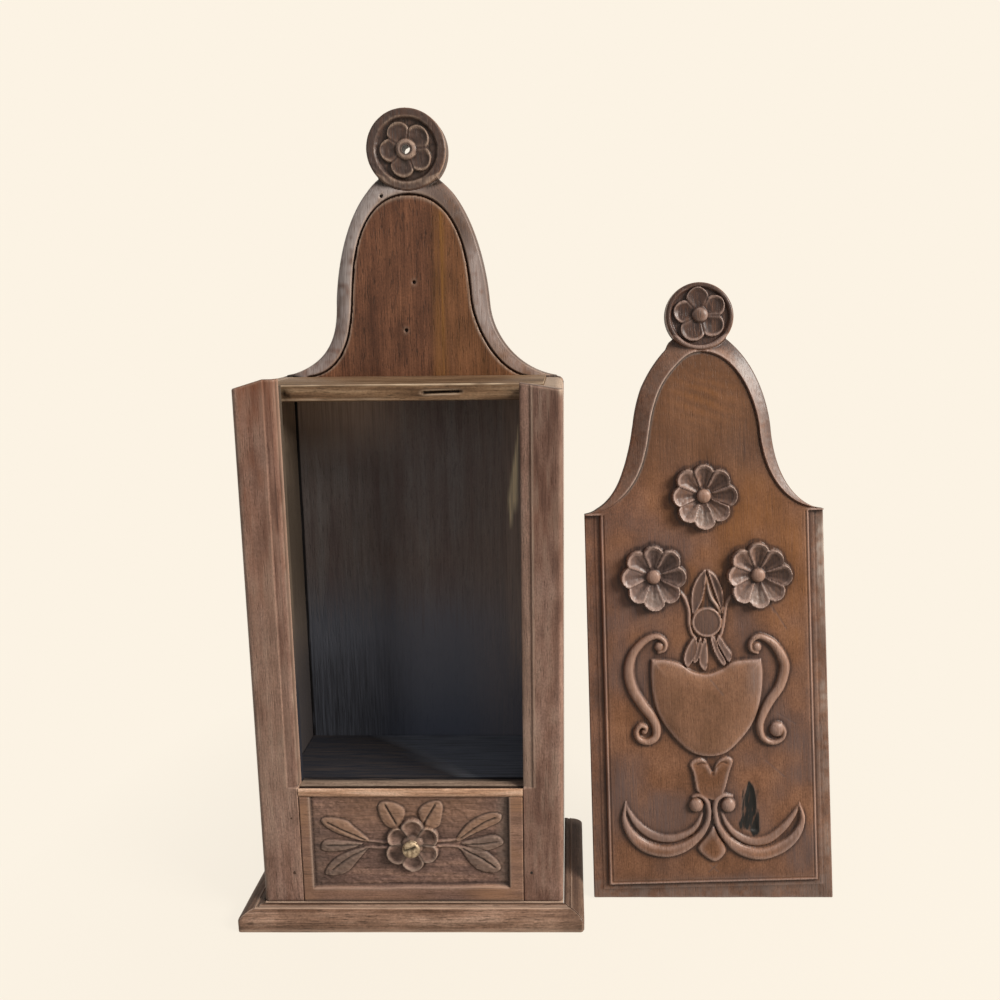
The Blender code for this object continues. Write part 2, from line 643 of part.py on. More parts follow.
def carve_spray(lid, y_face):
    # a tulip under the urn, two small volutes, a bud at the foot and a long crescent leaf at each side
    carve(lid, leaf(0.0, SPRAY_FOOT, 0.036, 0.014, 0.0), y_face, LEAF_RISE)
    carve_pair(lid, leaf(0.003, SPRAY_FOOT, 0.036, 0.012, math.radians(27)), y_face, LEAF_RISE)
    carve_pair(lid, circle(0.0148, SPRAY_FOOT - 0.004, VOLUTE_RADIUS, 12), y_face, VOLUTE_RISE)
    stalk = [(0.0030, SPRAY_FOOT - 0.030), (0.0035, SPRAY_FOOT - 0.016), (0.0090, SPRAY_FOOT - 0.001)]
    carve_pair(lid, ribbon(stalk, [STEM_WIDTH] * 3), y_face, STEM_RISE)
    carve(lid, leaf(0.0, SPRAY_FOOT - 0.053, 0.020, 0.010, 0.0), y_face, LEAF_RISE)
    carve_pair(lid, leaf(0.002, SPRAY_FOOT - 0.052, 0.019, 0.008, math.radians(30)), y_face, LEAF_RISE)
    tip = (0.077, SPRAY_FOOT - 0.005)
    belly = (0.045, SPRAY_FOOT - 0.043)
    end = (0.007, SPRAY_FOOT - 0.027)
    line = [tip]
    line += bezier(tip, (tip[0] - 0.003, tip[1] - 0.024), (belly[0] + 0.014, belly[1]), belly, 5)
    line += bezier(belly, (belly[0] - 0.014, belly[1]), (end[0] + 0.008, end[1] - 0.008), end, 5)
    last = len(line) - 1
    widths = [0.002 + CRESCENT_WIDTH * math.sin(math.pi * (0.06 + 0.88 * i / last)) for i in range(last + 1)]
    carve_pair(lid, ribbon(line, widths), y_face, CRESCENT_RISE)


make_base()
for side_name, side_hand in (("left", -1), ("right", 1)):
    make_side(side_name + "_side", side_hand)
    make_stile(side_name + "_stile", side_hand)
    make_guide(side_name + "_drawer_guide", side_hand)
    make_nails(side_name, side_hand)
make_battens()
make_boards()
make_rail()
make_backboard()
make_drawer()
make_lid()
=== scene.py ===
# Looks of a wall flour box in old carved walnut, with its lid drawn out and leaning beside it
import math

import bmesh
import bpy
import numpy as np
from mathutils import Euler, Matrix, Vector, noise


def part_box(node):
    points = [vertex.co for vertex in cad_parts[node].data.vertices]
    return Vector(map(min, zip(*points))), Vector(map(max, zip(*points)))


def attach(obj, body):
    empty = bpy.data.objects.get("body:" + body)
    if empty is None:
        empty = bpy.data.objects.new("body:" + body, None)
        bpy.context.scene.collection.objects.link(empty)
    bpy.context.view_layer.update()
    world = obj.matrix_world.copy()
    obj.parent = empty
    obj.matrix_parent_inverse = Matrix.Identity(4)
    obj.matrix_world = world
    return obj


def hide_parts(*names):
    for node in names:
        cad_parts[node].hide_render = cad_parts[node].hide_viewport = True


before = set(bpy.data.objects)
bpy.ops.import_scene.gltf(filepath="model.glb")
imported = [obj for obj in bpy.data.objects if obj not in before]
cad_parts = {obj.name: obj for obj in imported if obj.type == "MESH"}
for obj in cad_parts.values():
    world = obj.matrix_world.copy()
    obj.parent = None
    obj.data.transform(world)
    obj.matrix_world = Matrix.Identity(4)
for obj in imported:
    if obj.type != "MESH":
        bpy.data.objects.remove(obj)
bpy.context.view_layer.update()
scene = bpy.context.scene
scene.view_settings.view_transform = "Standard"
mm = 0.001  # carving is measured in millimetres, everything else in metres
print("frame loaded:", len(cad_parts), "solids")


def toLinear(hexColour):
    levels = [int(hexColour[i:i + 2], 16) / 255 for i in (1, 3, 5)]
    return (*[c / 12.92 if c <= 0.04045 else ((c + 0.055) / 1.055) ** 2.4 for c in levels], 1.0)


def addNode(tree, kind, settings=None, links=None):
    node = tree.nodes.new(kind)
    for key, value in (settings or {}).items():
        if key == "stops":  # of a colour ramp
            elements = node.color_ramp.elements
            elements[0].position, elements[1].position = value[0][0], value[-1][0]
            for position, colour in value[1:-1]:
                elements.new(position)
            for element, (position, colour) in zip(elements, value):
                element.color = toLinear(colour)
        elif isinstance(key, int) or key in node.inputs:
            node.inputs[key].default_value = value
        else:
            setattr(node, key, value)
    for key, socket in (links or {}).items():
        tree.links.new(socket, node.inputs[key])
    return node


def newMaterial(name):
    material = bpy.data.materials.new(name)
    material.use_nodes = True
    material.node_tree.nodes.clear()
    return material, material.node_tree


# Old walnut, planed and carved by hand, then oiled and waxed for generations. The eye gets long soft bands
# and fine pores along the grain, hollows darkened by grime and painted shade, painted light and shade from masks on
# the mesh, and pale, smoother wood where hands rubbed it.
def makeWalnut(name, look):
    material, tree = newMaterial(name)
    along = "xyz".index(look["grain"])

    def stretch(across, length):
        scale = [1 / (across * mm)] * 3
        scale[along] = 1 / (length * mm)
        return scale

    place = addNode(tree, "ShaderNodeTexCoord").outputs["Object"]
    drawn = {}
    patterns = {  # millimetres across and along the grain, and how many octaves
        "band": (look["band"], look["band"] * 16, 3.0),
        "ring": (34, 380, 1.0),
        "fibre": (1.1, 40, 2.0),
        "pore": (0.9, 9, 1.0),  # real pores are 0.2 mm wide, drawn wider so that they show
        "patch": (24, 34, 5.0),
        "speck": (1.3, 2.0, 3.0),
        "plane": (15, 24, 1.0),  # the hollows that a hand plane or gouge leaves
    }
    for pattern, (across, length, detail) in patterns.items():
        spread = addNode(tree, "ShaderNodeMapping",
                         {"Scale": stretch(across, length), "Location": look["shift"]}, {"Vector": place})
        cloud = addNode(tree, "ShaderNodeTexNoise", {"Scale": 1.0, "Detail": detail, "Roughness": 0.55},
                        {"Vector": spread.outputs[0]})
        drawn[pattern] = cloud.outputs[0]

    dark, middle, light = look["tones"]
    figure = addNode(tree, "ShaderNodeMix", {0: look["mottle"]}, {2: drawn["band"], 3: drawn["patch"]})
    tone = addNode(tree, "ShaderNodeValToRGB", {"stops": ((0.36, dark), (0.5, middle), (0.64, light))},
                   {0: figure.outputs[0]}).outputs[0]
    turns = addNode(tree, "ShaderNodeMath", {"operation": "MULTIPLY", 1: 44.0}, {0: drawn["ring"]})
    wave = addNode(tree, "ShaderNodeMath", {"operation": "SINE"}, {0: turns.outputs[0]})
    rings = addNode(tree, "ShaderNodeMapRange", {1: -0.2, 2: 1.0, 3: 0.0, 4: look["rings"]},
                    {0: wave.outputs[0]})
    tone = addNode(tree, "ShaderNodeMix", {"data_type": "RGBA", 7: toLinear(dark)},
                   {0: rings.outputs[0], 6: tone}).outputs[2]
    for pattern in ("fibre", "speck"):
        level = addNode(tree, "ShaderNodeMapRange", {1: 0.3, 2: 0.7, 3: 1 - look[pattern], 4: 1 + look[pattern]},
                        {0: drawn[pattern]})
        tone = addNode(tree, "ShaderNodeMix", {"data_type": "RGBA", "blend_type": "MULTIPLY", 0: 1.0},
                       {6: tone, 7: level.outputs[0]}).outputs[2]
    pores = addNode(tree, "ShaderNodeMapRange", {1: 0.58, 2: 0.72, 3: 0.0, 4: 1.0},
                    {0: drawn["pore"]}).outputs[0]
    share = addNode(tree, "ShaderNodeMath", {"operation": "MULTIPLY", 1: look["pores"]}, {0: pores})
    tone = addNode(tree, "ShaderNodeMix", {"data_type": "RGBA", 7: toLinear(look["grime"])},
                   {0: share.outputs[0], 6: tone}).outputs[2]

    # what the carving leaves on the surface, with painted light and shade: each layer is a mask kept on the mesh
    for layer, colour, strength in look["layers"]:
        mask = addNode(tree, "ShaderNodeAttribute", {"attribute_name": layer})
        broken = addNode(tree, "ShaderNodeMapRange", {1: 0.3, 2: 0.7, 3: 0.55 * strength, 4: 1.25 * strength},
                         {0: drawn["fibre"]})
        share = addNode(tree, "ShaderNodeMath", {"operation": "MULTIPLY", "use_clamp": True},
                        {0: mask.outputs["Fac"], 1: broken.outputs[0]})
        tone = addNode(tree, "ShaderNodeMix", {"data_type": "RGBA", 7: toLinear(colour)},
                       {0: share.outputs[0], 6: tone}).outputs[2]

    low, high = look["roughness"]
    sheen = addNode(tree, "ShaderNodeMapRange", {1: 0.3, 2: 0.7, 3: low, 4: high}, {0: drawn["patch"]})
    sheen = addNode(tree, "ShaderNodeMath", {"operation": "MULTIPLY_ADD", 1: 0.12},
                    {0: pores, 2: sheen.outputs[0]})
    grain = addNode(tree, "ShaderNodeMath", {"operation": "MULTIPLY_ADD", 1: -1.4},
                    {0: pores, 2: drawn["fibre"]})
    broad = addNode(tree, "ShaderNodeBump", {"Strength": 0.35, "Distance": 0.5 * mm},
                    {"Height": drawn["plane"]})
    fine = addNode(tree, "ShaderNodeBump", {"Strength": 0.65, "Distance": 0.16 * mm},
                   {"Height": grain.outputs[0], "Normal": broad.outputs[0]})
    shader = addNode(tree, "ShaderNodeBsdfPrincipled",
                     {"IOR": 1.45, "Specular IOR Level": 0.15,
                      "Coat Weight": look["wax"], "Coat Roughness": 0.32},
                     {"Base Color": tone, "Roughness": sheen.outputs[0], "Normal": fine.outputs[0]})
    addNode(tree, "ShaderNodeOutputMaterial", links={"Surface": shader.outputs[0]})
    return material


# Planed boards under a thin old wax: brown bands, short pores and a soft low sheen
planedWalnut = makeWalnut("planedWalnut", {
    "grain": "z", "shift": (0, 0, 0), "band": 9, "mottle": 0.5, "fibre": 0.22,
    "speck": 0.3, "rings": 0.15, "pores": 0.42, "wax": 0.10, "roughness": (0.40, 0.55),
    "tones": ("#694d42", "#8d6f61", "#a58779"), "grime": "#33251f",
    "layers": (("warm", "#7f5039", 0.95), ("dim", "#4a352d", 0.9), ("pale", "#a89584", 0.9),
               ("ridge", "#b0937f", 0.45), ("hollow", "#2b1f1a", 0.85)),
})
# The shelf's scrubbed edge, hardly waxed: greyer wood, pale where its corners are rubbed
scrubbedWalnut = makeWalnut("scrubbedWalnut", {
    "grain": "x", "shift": (3, 5, 2), "band": 5, "mottle": 0.2, "fibre": 0.2,
    "speck": 0.2, "rings": 0.35, "pores": 0.5, "wax": 0.05, "roughness": (0.45, 0.6),
    "tones": ("#543e2c", "#7a5f47", "#957c62"), "grime": "#2a211a",
    "layers": (("ridge", "#a8927c", 0.9), ("pale", "#bfa98f", 0.9), ("dim", "#17110d", 1.0),
               ("hollow", "#201813", 0.9)),
})
# Waxed and darkened by smoke: deep red-brown with black pores, and a border painted pale grey as sheen
smokedWalnut = makeWalnut("smokedWalnut", {
    "grain": "z", "shift": (11, 2, 7), "band": 8, "mottle": 0.5, "fibre": 0.26,
    "speck": 0.24, "rings": 0.2, "pores": 0.75, "wax": 0.12, "roughness": (0.36, 0.5),
    "tones": ("#4a2e20", "#62402e", "#764f39"), "grime": "#23160f",
    "layers": (("warm", "#7c5428", 0.65), ("pale", "#958883", 0.92), ("bleached", "#b0a5a0", 0.66),
               ("dim", "#463b37", 0.9), ("ridge", "#9c8574", 0.6), ("hollow", "#20160f", 0.95)),
})
# Carved and polished with wax: smooth warm brown, a waxed sheen with painted highlights over the forms, black in the
# cuts partly as painted shade
polishedWalnut = makeWalnut("polishedWalnut", {
    "grain": "z", "shift": (5, 9, 3), "band": 11, "mottle": 0.85, "fibre": 0.06,
    "speck": 0.3, "rings": 0.1, "pores": 0.3, "wax": 0.18, "roughness": (0.33, 0.47),
    "tones": ("#5d3f2e", "#704e3b", "#7f5b46"), "grime": "#2a1b12",
    "layers": (("cool", "#5c4943", 0.85), ("warm", "#7a4f28", 0.6), ("pale", "#62514c", 0.9),
               ("dim", "#352926", 0.9), ("bleached", "#a69a90", 0.8), ("ridge", "#ae9387", 0.45),
               ("hollow", "#2d201d", 0.8), ("scar", "#171615", 1.6)),
})
# Cut with a gouge and dulled by hands: small facets and a greyish brown skin
gougedWalnut = makeWalnut("gougedWalnut", {
    "grain": "x", "shift": (2, 4, 8), "band": 6, "mottle": 0.4, "fibre": 0.16,
    "speck": 0.26, "rings": 0.2, "pores": 0.4, "wax": 0.08, "roughness": (0.42, 0.56),
    "tones": ("#5a463f", "#795f55", "#937464"), "grime": "#2a201c",
    "layers": (("warm", "#9a7458", 0.7), ("pale", "#857469", 0.8), ("dim", "#453f3a", 0.85),
               ("ridge", "#ab9282", 0.4), ("hollow", "#2c211d", 0.8)),
})
# Run with a moulding plane: straight grain along it, rubbed pale on the edges
mouldedWalnut = makeWalnut("mouldedWalnut", {
    "grain": "x", "shift": (7, 1, 4), "band": 5, "mottle": 0.45, "fibre": 0.3,
    "speck": 0.26, "rings": 0.4, "pores": 0.7, "wax": 0.06, "roughness": (0.42, 0.58),
    "tones": ("#614839", "#866957", "#a08370"), "grime": "#30231c",
    "layers": (("ridge", "#b59a86", 0.8), ("hollow", "#2d211b", 0.85)),
})
# The same moulding at the sides: less rubbed, so browner and more even
mouldedSideWalnut = makeWalnut("mouldedSideWalnut", {
    "grain": "y", "shift": (1, 6, 9), "band": 6, "mottle": 0.4, "fibre": 0.18,
    "speck": 0.24, "rings": 0.2, "pores": 0.45, "wax": 0.08, "roughness": (0.42, 0.56),
    "tones": ("#4e3a30", "#6f5647", "#8d7362"), "grime": "#2a1f19",
    "layers": (("ridge", "#a58b79", 0.7), ("hollow", "#2d211b", 0.85)),
})
# Rubbed bare where the lid and hands pass: the palest wood, smooth, with its pores filled
rubbedWalnut = makeWalnut("rubbedWalnut", {
    "grain": "x", "shift": (4, 4, 1), "band": 3, "mottle": 0.3, "fibre": 0.16,
    "speck": 0.2, "rings": 0.2, "pores": 0.4, "wax": 0.12, "roughness": (0.36, 0.5),
    "tones": ("#947057", "#be977c", "#d4b198"), "grime": "#5a4334",
    "layers": (("ridge", "#d2b094", 0.3), ("hollow", "#2a1d15", 1.5)),
})
# Planed and never waxed: dull and greyish, black where damp flour lay and where shade is painted
bareWalnut = makeWalnut("bareWalnut", {
    "grain": "x", "shift": (9, 4, 3), "band": 3, "mottle": 0.4, "fibre": 0.16,
    "speck": 0.24, "rings": 0.1, "pores": 0.4, "wax": 0.0, "roughness": (0.5, 0.65),
    "tones": ("#6b594d", "#846f60", "#988473"), "grime": "#3a2d25",
    "layers": (("ridge", "#a8937f", 0.4), ("hollow", "#2a1d15", 1.5), ("damp", "#1e1d20", 1.8)),
})
# Planed, never waxed, and smoked: flour, damp and painted shade leave it nearly black and dull, streaked along the
# grain, with painted light and shade laid over the bin to even it out
sootedWalnut = makeWalnut("sootedWalnut", {
    "grain": "z", "shift": (8, 3, 6), "band": 7, "mottle": 0.3, "fibre": 0.08,
    "speck": 0.1, "rings": 0.1, "pores": 0.3, "wax": 0.0, "roughness": (0.6, 0.8),
    "tones": ("#5f5250", "#6a605d", "#736c6a"), "grime": "#3e3a3a",
    "layers": (("ridge", "#6e5f52", 0.5), ("damp", "#62656f", 1.8), ("pale", "#a59082", 0.9),
               ("bleached", "#f0dab4", 1.0), ("dim", "#141213", 1.3)),
})
# Sawn edges that took up grease and soot: almost black, with no sheen, darker still as painted shade inside the bin,
# with painted light and shade on the left side
grimedWalnut = makeWalnut("grimedWalnut", {
    "grain": "z", "shift": (5, 5, 6), "band": 5, "mottle": 0.3, "fibre": 0.1,
    "speck": 0.14, "rings": 0.1, "pores": 0.3, "wax": 0.0, "roughness": (0.6, 0.8),
    "tones": ("#2b2520", "#38312a", "#453c33"), "grime": "#1b1816",
    "layers": (("ridge", "#5a4d41", 0.6), ("damp", "#24252b", 1.2), ("pale", "#8f7c6a", 1.0),
               ("dim", "#171412", 0.9)),
})
# Boards stained by damp flour: dark and dull, painted lighter grey where the floor lies in shadow
stainedWalnut = makeWalnut("stainedWalnut", {
    "grain": "x", "shift": (6, 2, 2), "band": 7, "mottle": 0.3, "fibre": 0.08,
    "speck": 0.14, "rings": 0.1, "pores": 0.3, "wax": 0.0, "roughness": (0.6, 0.8),
    "tones": ("#2f2825", "#443933", "#5a4c43"), "grime": "#1b1817",
    "layers": (("ridge", "#6a5d52", 0.4), ("damp", "#27282e", 1.0), ("pale", "#777a82", 0.95)),
})


# Cast brass rubbed by fingers: pale yellow where it is touched, brown tarnish in its hollows
def makeBrass(name):
    material, tree = newMaterial(name)
    place = addNode(tree, "ShaderNodeTexCoord").outputs["Object"]
    spots = addNode(tree, "ShaderNodeTexNoise", {"Scale": 1 / (2.2 * mm), "Detail": 4.0}, {"Vector": place})
    tone = addNode(tree, "ShaderNodeValToRGB",
                   {"stops": ((0.3, "#6d5d4a"), (0.5, "#a59279"), (0.7, "#c3b095"))}, {0: spots.outputs[0]})
    mask = addNode(tree, "ShaderNodeAttribute", {"attribute_name": "hollow"})
    tone = addNode(tree, "ShaderNodeMix", {"data_type": "RGBA", 7: toLinear("#2b2417")},
                   {0: mask.outputs["Fac"], 6: tone.outputs[0]})
    dull = addNode(tree, "ShaderNodeMapRange", {1: 0.3, 2: 0.7, 3: 0.7, 4: 0.55}, {0: spots.outputs[0]})
    pits = addNode(tree, "ShaderNodeBump", {"Strength": 0.4, "Distance": 0.1 * mm},
                   {"Height": spots.outputs[0]})
    shader = addNode(tree, "ShaderNodeBsdfPrincipled", {"Metallic": 0.75},
                     {"Base Color": tone.outputs[2], "Roughness": dull.outputs[0], "Normal": pits.outputs[0]})
    addNode(tree, "ShaderNodeOutputMaterial", links={"Surface": shader.outputs[0]})
    return material


# Hand-cut iron nails, rusted dark and level with the wood: almost black, with a brown bloom
def makeIron(name, bloom):
    material, tree = newMaterial(name)
    place = addNode(tree, "ShaderNodeTexCoord").outputs["Object"]
    rust = addNode(tree, "ShaderNodeTexNoise", {"Scale": 1 / (0.9 * mm), "Detail": 4.0},
                   {"Vector": place})
    tone = addNode(tree, "ShaderNodeValToRGB",
                   {"stops": tuple(zip((0.35, 0.55, 0.75), bloom))}, {0: rust.outputs[0]})
    pits = addNode(tree, "ShaderNodeBump", {"Strength": 0.5, "Distance": 0.15 * mm},
                   {"Height": rust.outputs[0]})
    shader = addNode(tree, "ShaderNodeBsdfPrincipled", {"Metallic": 0.4, "Roughness": 0.72},
                     {"Base Color": tone.outputs[0], "Normal": pits.outputs[0]})
    addNode(tree, "ShaderNodeOutputMaterial", links={"Surface": shader.outputs[0]})
    return material


castBrass = makeBrass("castBrass")
rustedIron = makeIron("rustedIron", ("#33241d", "#4d382c", "#6b4a37"))
blackenedIron = makeIron("blackenedIron", ("#14100e", "#1d1714", "#33261f"))
print("materials made")


def meshFrom(name, points, faces, layers=None, crease=75):
    mesh = bpy.data.meshes.new(name)
    mesh.from_pydata(np.asarray(points).tolist(), [], faces)
    shell = bmesh.new()
    shell.from_mesh(mesh)
    bmesh.ops.recalc_face_normals(shell, faces=shell.faces)
    shell.to_mesh(mesh)
    shell.free()
    for layer, values in (layers or {}).items():
        kept = mesh.attributes.new(layer, "FLOAT", "POINT")
        kept.data.foreach_set("value", np.asarray(values, np.float32))
    mesh.shade_smooth()
    mesh.set_sharp_from_angle(angle=math.radians(crease))
    return mesh


def addPiece(mesh, body, node, finishes, stand=None):
    piece = bpy.data.objects.new(mesh.name, mesh)
    scene.collection.objects.link(piece)
    if stand:
        piece.matrix_world = stand
    for finish in finishes:
        mesh.materials.append(finish)
    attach(piece, body)
    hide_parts(node)
    return piece


def paintLayer(mesh, layer, amount):  # the amount is worked out at each point
    values = mesh.attributes.get(layer) or mesh.attributes.new(layer, "FLOAT", "POINT")
    for point in mesh.vertices:
        values.data[point.index].value = float(amount(point.co))


# Plain boards: sawn and planed, with rubbed edges and faces that are never quite flat
plank = {"sharpAngle": 35, "smoothAngle": 45, "bevelSteps": 3, "broadBumps": 42, "fineBumps": 13,
         "section": 16, "roundSteps": 8, "dampShadeTop": 0.27, "dampShadeFade": 0.10}


def wearSolid(shell, soften, uneven):
    sharp = [e for e in shell.edges if e.calc_face_angle(0.0) > math.radians(plank["sharpAngle"])]
    wearAndSheen = bmesh.ops.bevel(shell, geom=sharp, offset=soften * mm, offset_type="OFFSET",
                           segments=plank["bevelSteps"], profile=0.5, affect="EDGES", clamp_overlap=True)
    ridge, damp = shell.verts.layers.float.new("ridge"), shell.verts.layers.float.new("damp")
    for face in wearAndSheen["faces"]:
        for corner in face.verts:
            corner[ridge] = 1.0
    for point in shell.verts:  # the flour bin is darker near its floor: damp stain and painted shade
        point[damp] = min(max((plank["dampShadeTop"] - point.co.z) / plank["dampShadeFade"], 0.0), 1.0)
    shell.normal_update()
    for point in shell.verts:
        swing = noise.noise(point.co / (plank["broadBumps"] * mm))
        swing += 0.5 * noise.noise(point.co / (plank["fineBumps"] * mm))
        point.co -= point.normal * (uneven * mm * (0.75 + 0.5 * swing))


def finishSolid(name, shell, soften, uneven):
    wearSolid(shell, soften, uneven)
    bmesh.ops.recalc_face_normals(shell, faces=shell.faces)
    mesh = bpy.data.meshes.new(name)
    shell.to_mesh(mesh)
    shell.free()
    mesh.shade_smooth()
    mesh.set_sharp_from_angle(angle=math.radians(plank["smoothAngle"]))
    return mesh


def joinRings(rings):  # a closed solid through rings of equally many points
    shell = bmesh.new()
    made = [[shell.verts.new(point) for point in ring] for ring in rings]
    shell.faces.new(made[0])
    shell.faces.new(made[-1][::-1])
    for ring, following in zip(made, made[1:]):
        for i, corner in enumerate(ring):
            j = (i + 1) % len(ring)
            shell.faces.new((corner, following[i], following[j], ring[j]))
    bmesh.ops.recalc_face_normals(shell, faces=shell.faces)
    return shell


def plainBoard(name, node, body, finish, grain, soften=0.8, uneven=0.12, inside=None, roundTop=0.0):
    low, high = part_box(node)
    along = "xyz".index(grain)
    across = [i for i in range(3) if i != along]
    sections = max(2, int((high[along] - low[along]) / (plank["section"] * mm)))
    steps = [low[along] + (high[along] - low[along]) * k / sections for k in range(sections + 1)]
    if roundTop:  # the outer corner at the top is rounded off
        turns = [math.pi / 2 * k / plank["roundSteps"] for k in range(plank["roundSteps"] + 1)]
        steps = [z for z in steps if z < high.z - 1.2 * roundTop * mm]
        steps += [high.z - roundTop * mm * (1 - math.sin(turn)) for turn in turns]
    rings = []
    for step in steps:
        ring = []
        for a, b in ((low, low), (high, low), (high, high), (low, high)):
            point = [0.0, 0.0, 0.0]
            point[across[0]], point[across[1]] = a[across[0]], b[across[1]]
            point[along] = step
            up = max(step - high.z + roundTop * mm, 0.0) if roundTop else 0.0
            if up and abs(point[0]) > abs(low.x + high.x) / 2:
                cut = roundTop * mm - math.sqrt(max((roundTop * mm) ** 2 - up ** 2, 0.0))
                point[0] -= math.copysign(cut, point[0])
            ring.append(point)
        rings.append(ring)
    mesh = finishSolid(name, joinRings(rings), soften, uneven)
    finishes = [finish] if inside is None else [finish, grimedWalnut, bareWalnut]
    piece = addPiece(mesh, body, node, finishes)
    piece.modifiers.new("evenShading", "WEIGHTED_NORMAL").keep_sharp = True
    if inside is not None:  # the face that looks this way was never waxed
        for face in mesh.polygons:
            inward = face.normal.dot(Vector(inside)) > 0.6
            face.material_index = 2 if face.normal.z > 0.35 else int(inward)
    return piece


# Carving tools: a relief is a grid over a board, in millimetres across, up and out from the board's back
def smoothStep(t):
    t = np.clip(t, 0, 1)
    return t * t * (3 - 2 * t)


def swell(depth, edge):  # nothing outside a form, full once this deep inside it, with a round shoulder
    t = np.clip(depth / edge, 0, 1)
    return t * (2 - t)


def unevenness(seed, size):  # a smooth random surface with bumps of this many millimetres
    cells = 61
    lattice = np.random.default_rng(seed).uniform(-1, 1, (cells, cells))

    def at(u, v):
        x, y = u / size, v / size
        i, j = np.floor(x).astype(int), np.floor(y).astype(int)
        s, t = smoothStep(x - i), smoothStep(y - j)
        left, right, down, up = i % cells, (i + 1) % cells, j % cells, (j + 1) % cells
        low = lattice[left, down] * (1 - s) + lattice[right, down] * s
        high = lattice[left, up] * (1 - s) + lattice[right, up] * s
        return low * (1 - t) + high * t
    return at


def curveThrough(points, closed=False, steps=7):  # a smooth line through a few points
    points = np.asarray(points, float)
    if closed:
        padded = np.vstack((points[-1:], points, points[:2]))
    else:
        padded = np.vstack((2 * points[0] - points[1], points, 2 * points[-1] - points[-2]))
    line = []
    for a, b, c, d in zip(padded, padded[1:], padded[2:], padded[3:]):
        for t in np.arange(steps) / steps:
            line.append(0.5 * (2 * b + (c - a) * t + (2 * a - 5 * b + 4 * c - d) * t * t
                               + (3 * b - a - 3 * c + d) * t ** 3))
    return np.array(line if closed else line + [points[-1]])


def bezier(start, pull, push, end, steps=24):
    t = np.linspace(0, 1, steps)[:, None]
    start, pull, push, end = (np.asarray(p, float) for p in (start, pull, push, end))
    return start * (1 - t) ** 3 + 3 * pull * t * (1 - t) ** 2 + 3 * push * t * t * (1 - t) + end * t ** 3


def bell(foot, waist, waistRise, neck, neckRise, fall, fullness=0.67):
    # right half of a crest: a hollow flare up to the waist, then a round shoulder up to the neck
    rise = neckRise - waistRise
    flare = bezier((foot, 0), (waist + 0.43 * (foot - waist), 0.04 * waistRise),
                   (waist + 2.5, 0.43 * waistRise), (waist, waistRise))
    shoulder = bezier((waist, waistRise), (waist - 1.5, waistRise + 0.31 * rise),
                      (neck + fullness * (waist - neck), neckRise - fall * rise), (neck, neckRise))
    return np.vstack((flare, shoulder[1:]))


def alongLine(u, v, line):  # how far each point lies from a line, and how far along the line
    nearest, share = np.full(u.shape, 1e9), np.zeros(u.shape)
    for i, ((x0, y0), (x1, y1)) in enumerate(zip(line, line[1:])):
        dx, dy = x1 - x0, y1 - y0
        t = np.clip(((u - x0) * dx + (v - y0) * dy) / (dx * dx + dy * dy + 1e-12), 0, 1)
        away = np.hypot(u - x0 - t * dx, v - y0 - t * dy)
        share = np.where(away < nearest, (i + t) / (len(line) - 1), share)
        nearest = np.minimum(nearest, away)
    return nearest, share


def insideOf(u, v, outline):  # how deep each point lies inside a closed outline, negative outside
    closed = np.vstack((outline, outline[:1]))
    odd = np.zeros(u.shape, bool)
    for (x0, y0), (x1, y1) in zip(closed, closed[1:]):
        if y0 != y1:
            odd ^= ((y0 > v) != (y1 > v)) & (u < x0 + (v - y0) * (x1 - x0) / (y1 - y0))
    nearest = alongLine(u, v, closed)[0]
    return np.where(odd, nearest, -nearest)


def within(relief, points, margin=5):  # the part of a relief that lies round these points
    points = np.atleast_2d(np.asarray(points, float))
    low, high = points.min(0) - margin, points.max(0) + margin
    u, v = relief["u"], relief["v"]
    return (u > low[0]) & (u < high[0]) & (v > low[1]) & (v < high[1])


masks = ("warm", "cool", "pale", "bleached", "dim", "scar", "damp")  # painted, beside the hollows and ridges


def newRelief(rows, left, right, halfColumns, hole=None):
    # a grid over an outline that every row crosses once; a round hole parts the rows that meet it
    middle, gap = (left + right) / 2, np.zeros(len(rows))
    if hole:
        middle = np.full(len(rows), float(hole[0]))
        gap = np.sqrt(np.clip(hole[2] ** 2 - (rows - hole[1]) ** 2, 0, None))
    lean = np.linspace(0, 1, halfColumns + 1) ** 1.25  # closer together near the outline
    uLeft = left[:, None] + (middle - gap - left)[:, None] * lean
    uRight = (right[:, None] + (middle + gap - right)[:, None] * lean)[:, ::-1]
    u = np.hstack((uLeft, uRight))
    v = np.repeat(np.asarray(rows, float)[:, None], u.shape[1], axis=1)
    edge = np.minimum(u - left[:, None], right[:, None] - u)
    relief = {"u": u, "v": v, "gap": gap, "edge": edge, "w": np.zeros(u.shape)}
    for layer in masks:
        relief[layer] = np.zeros(u.shape)
    return relief


def stain(relief, near=slice(None), **layers):  # a layer keeps the stronger of what it has and what is added
    for layer, amount in layers.items():
        relief[layer][near] = np.maximum(relief[layer][near], amount)


def raiseForm(relief, near, height, **layers):
    relief["w"][near] = np.maximum(relief["w"][near], relief["ground"][near] + height)
    stain(relief, near, **layers)


def carveShape(relief, outline, rise, edge, crown=0.0, spread=8.0, dirtAndShade=0.0, **layers):
    near = within(relief, outline)
    depth = insideOf(relief["u"][near], relief["v"][near], outline)
    height = np.where(depth > 0, rise * swell(depth, edge) + crown * swell(depth, spread), 0)
    raiseForm(relief, near, height, **{layer: amount * smoothStep(depth) for layer, amount in layers.items()})
    # darker deep inside the form: grime and painted shade
    stain(relief, near, dim=dirtAndShade * smoothStep((depth - 0.9) / 1.4))


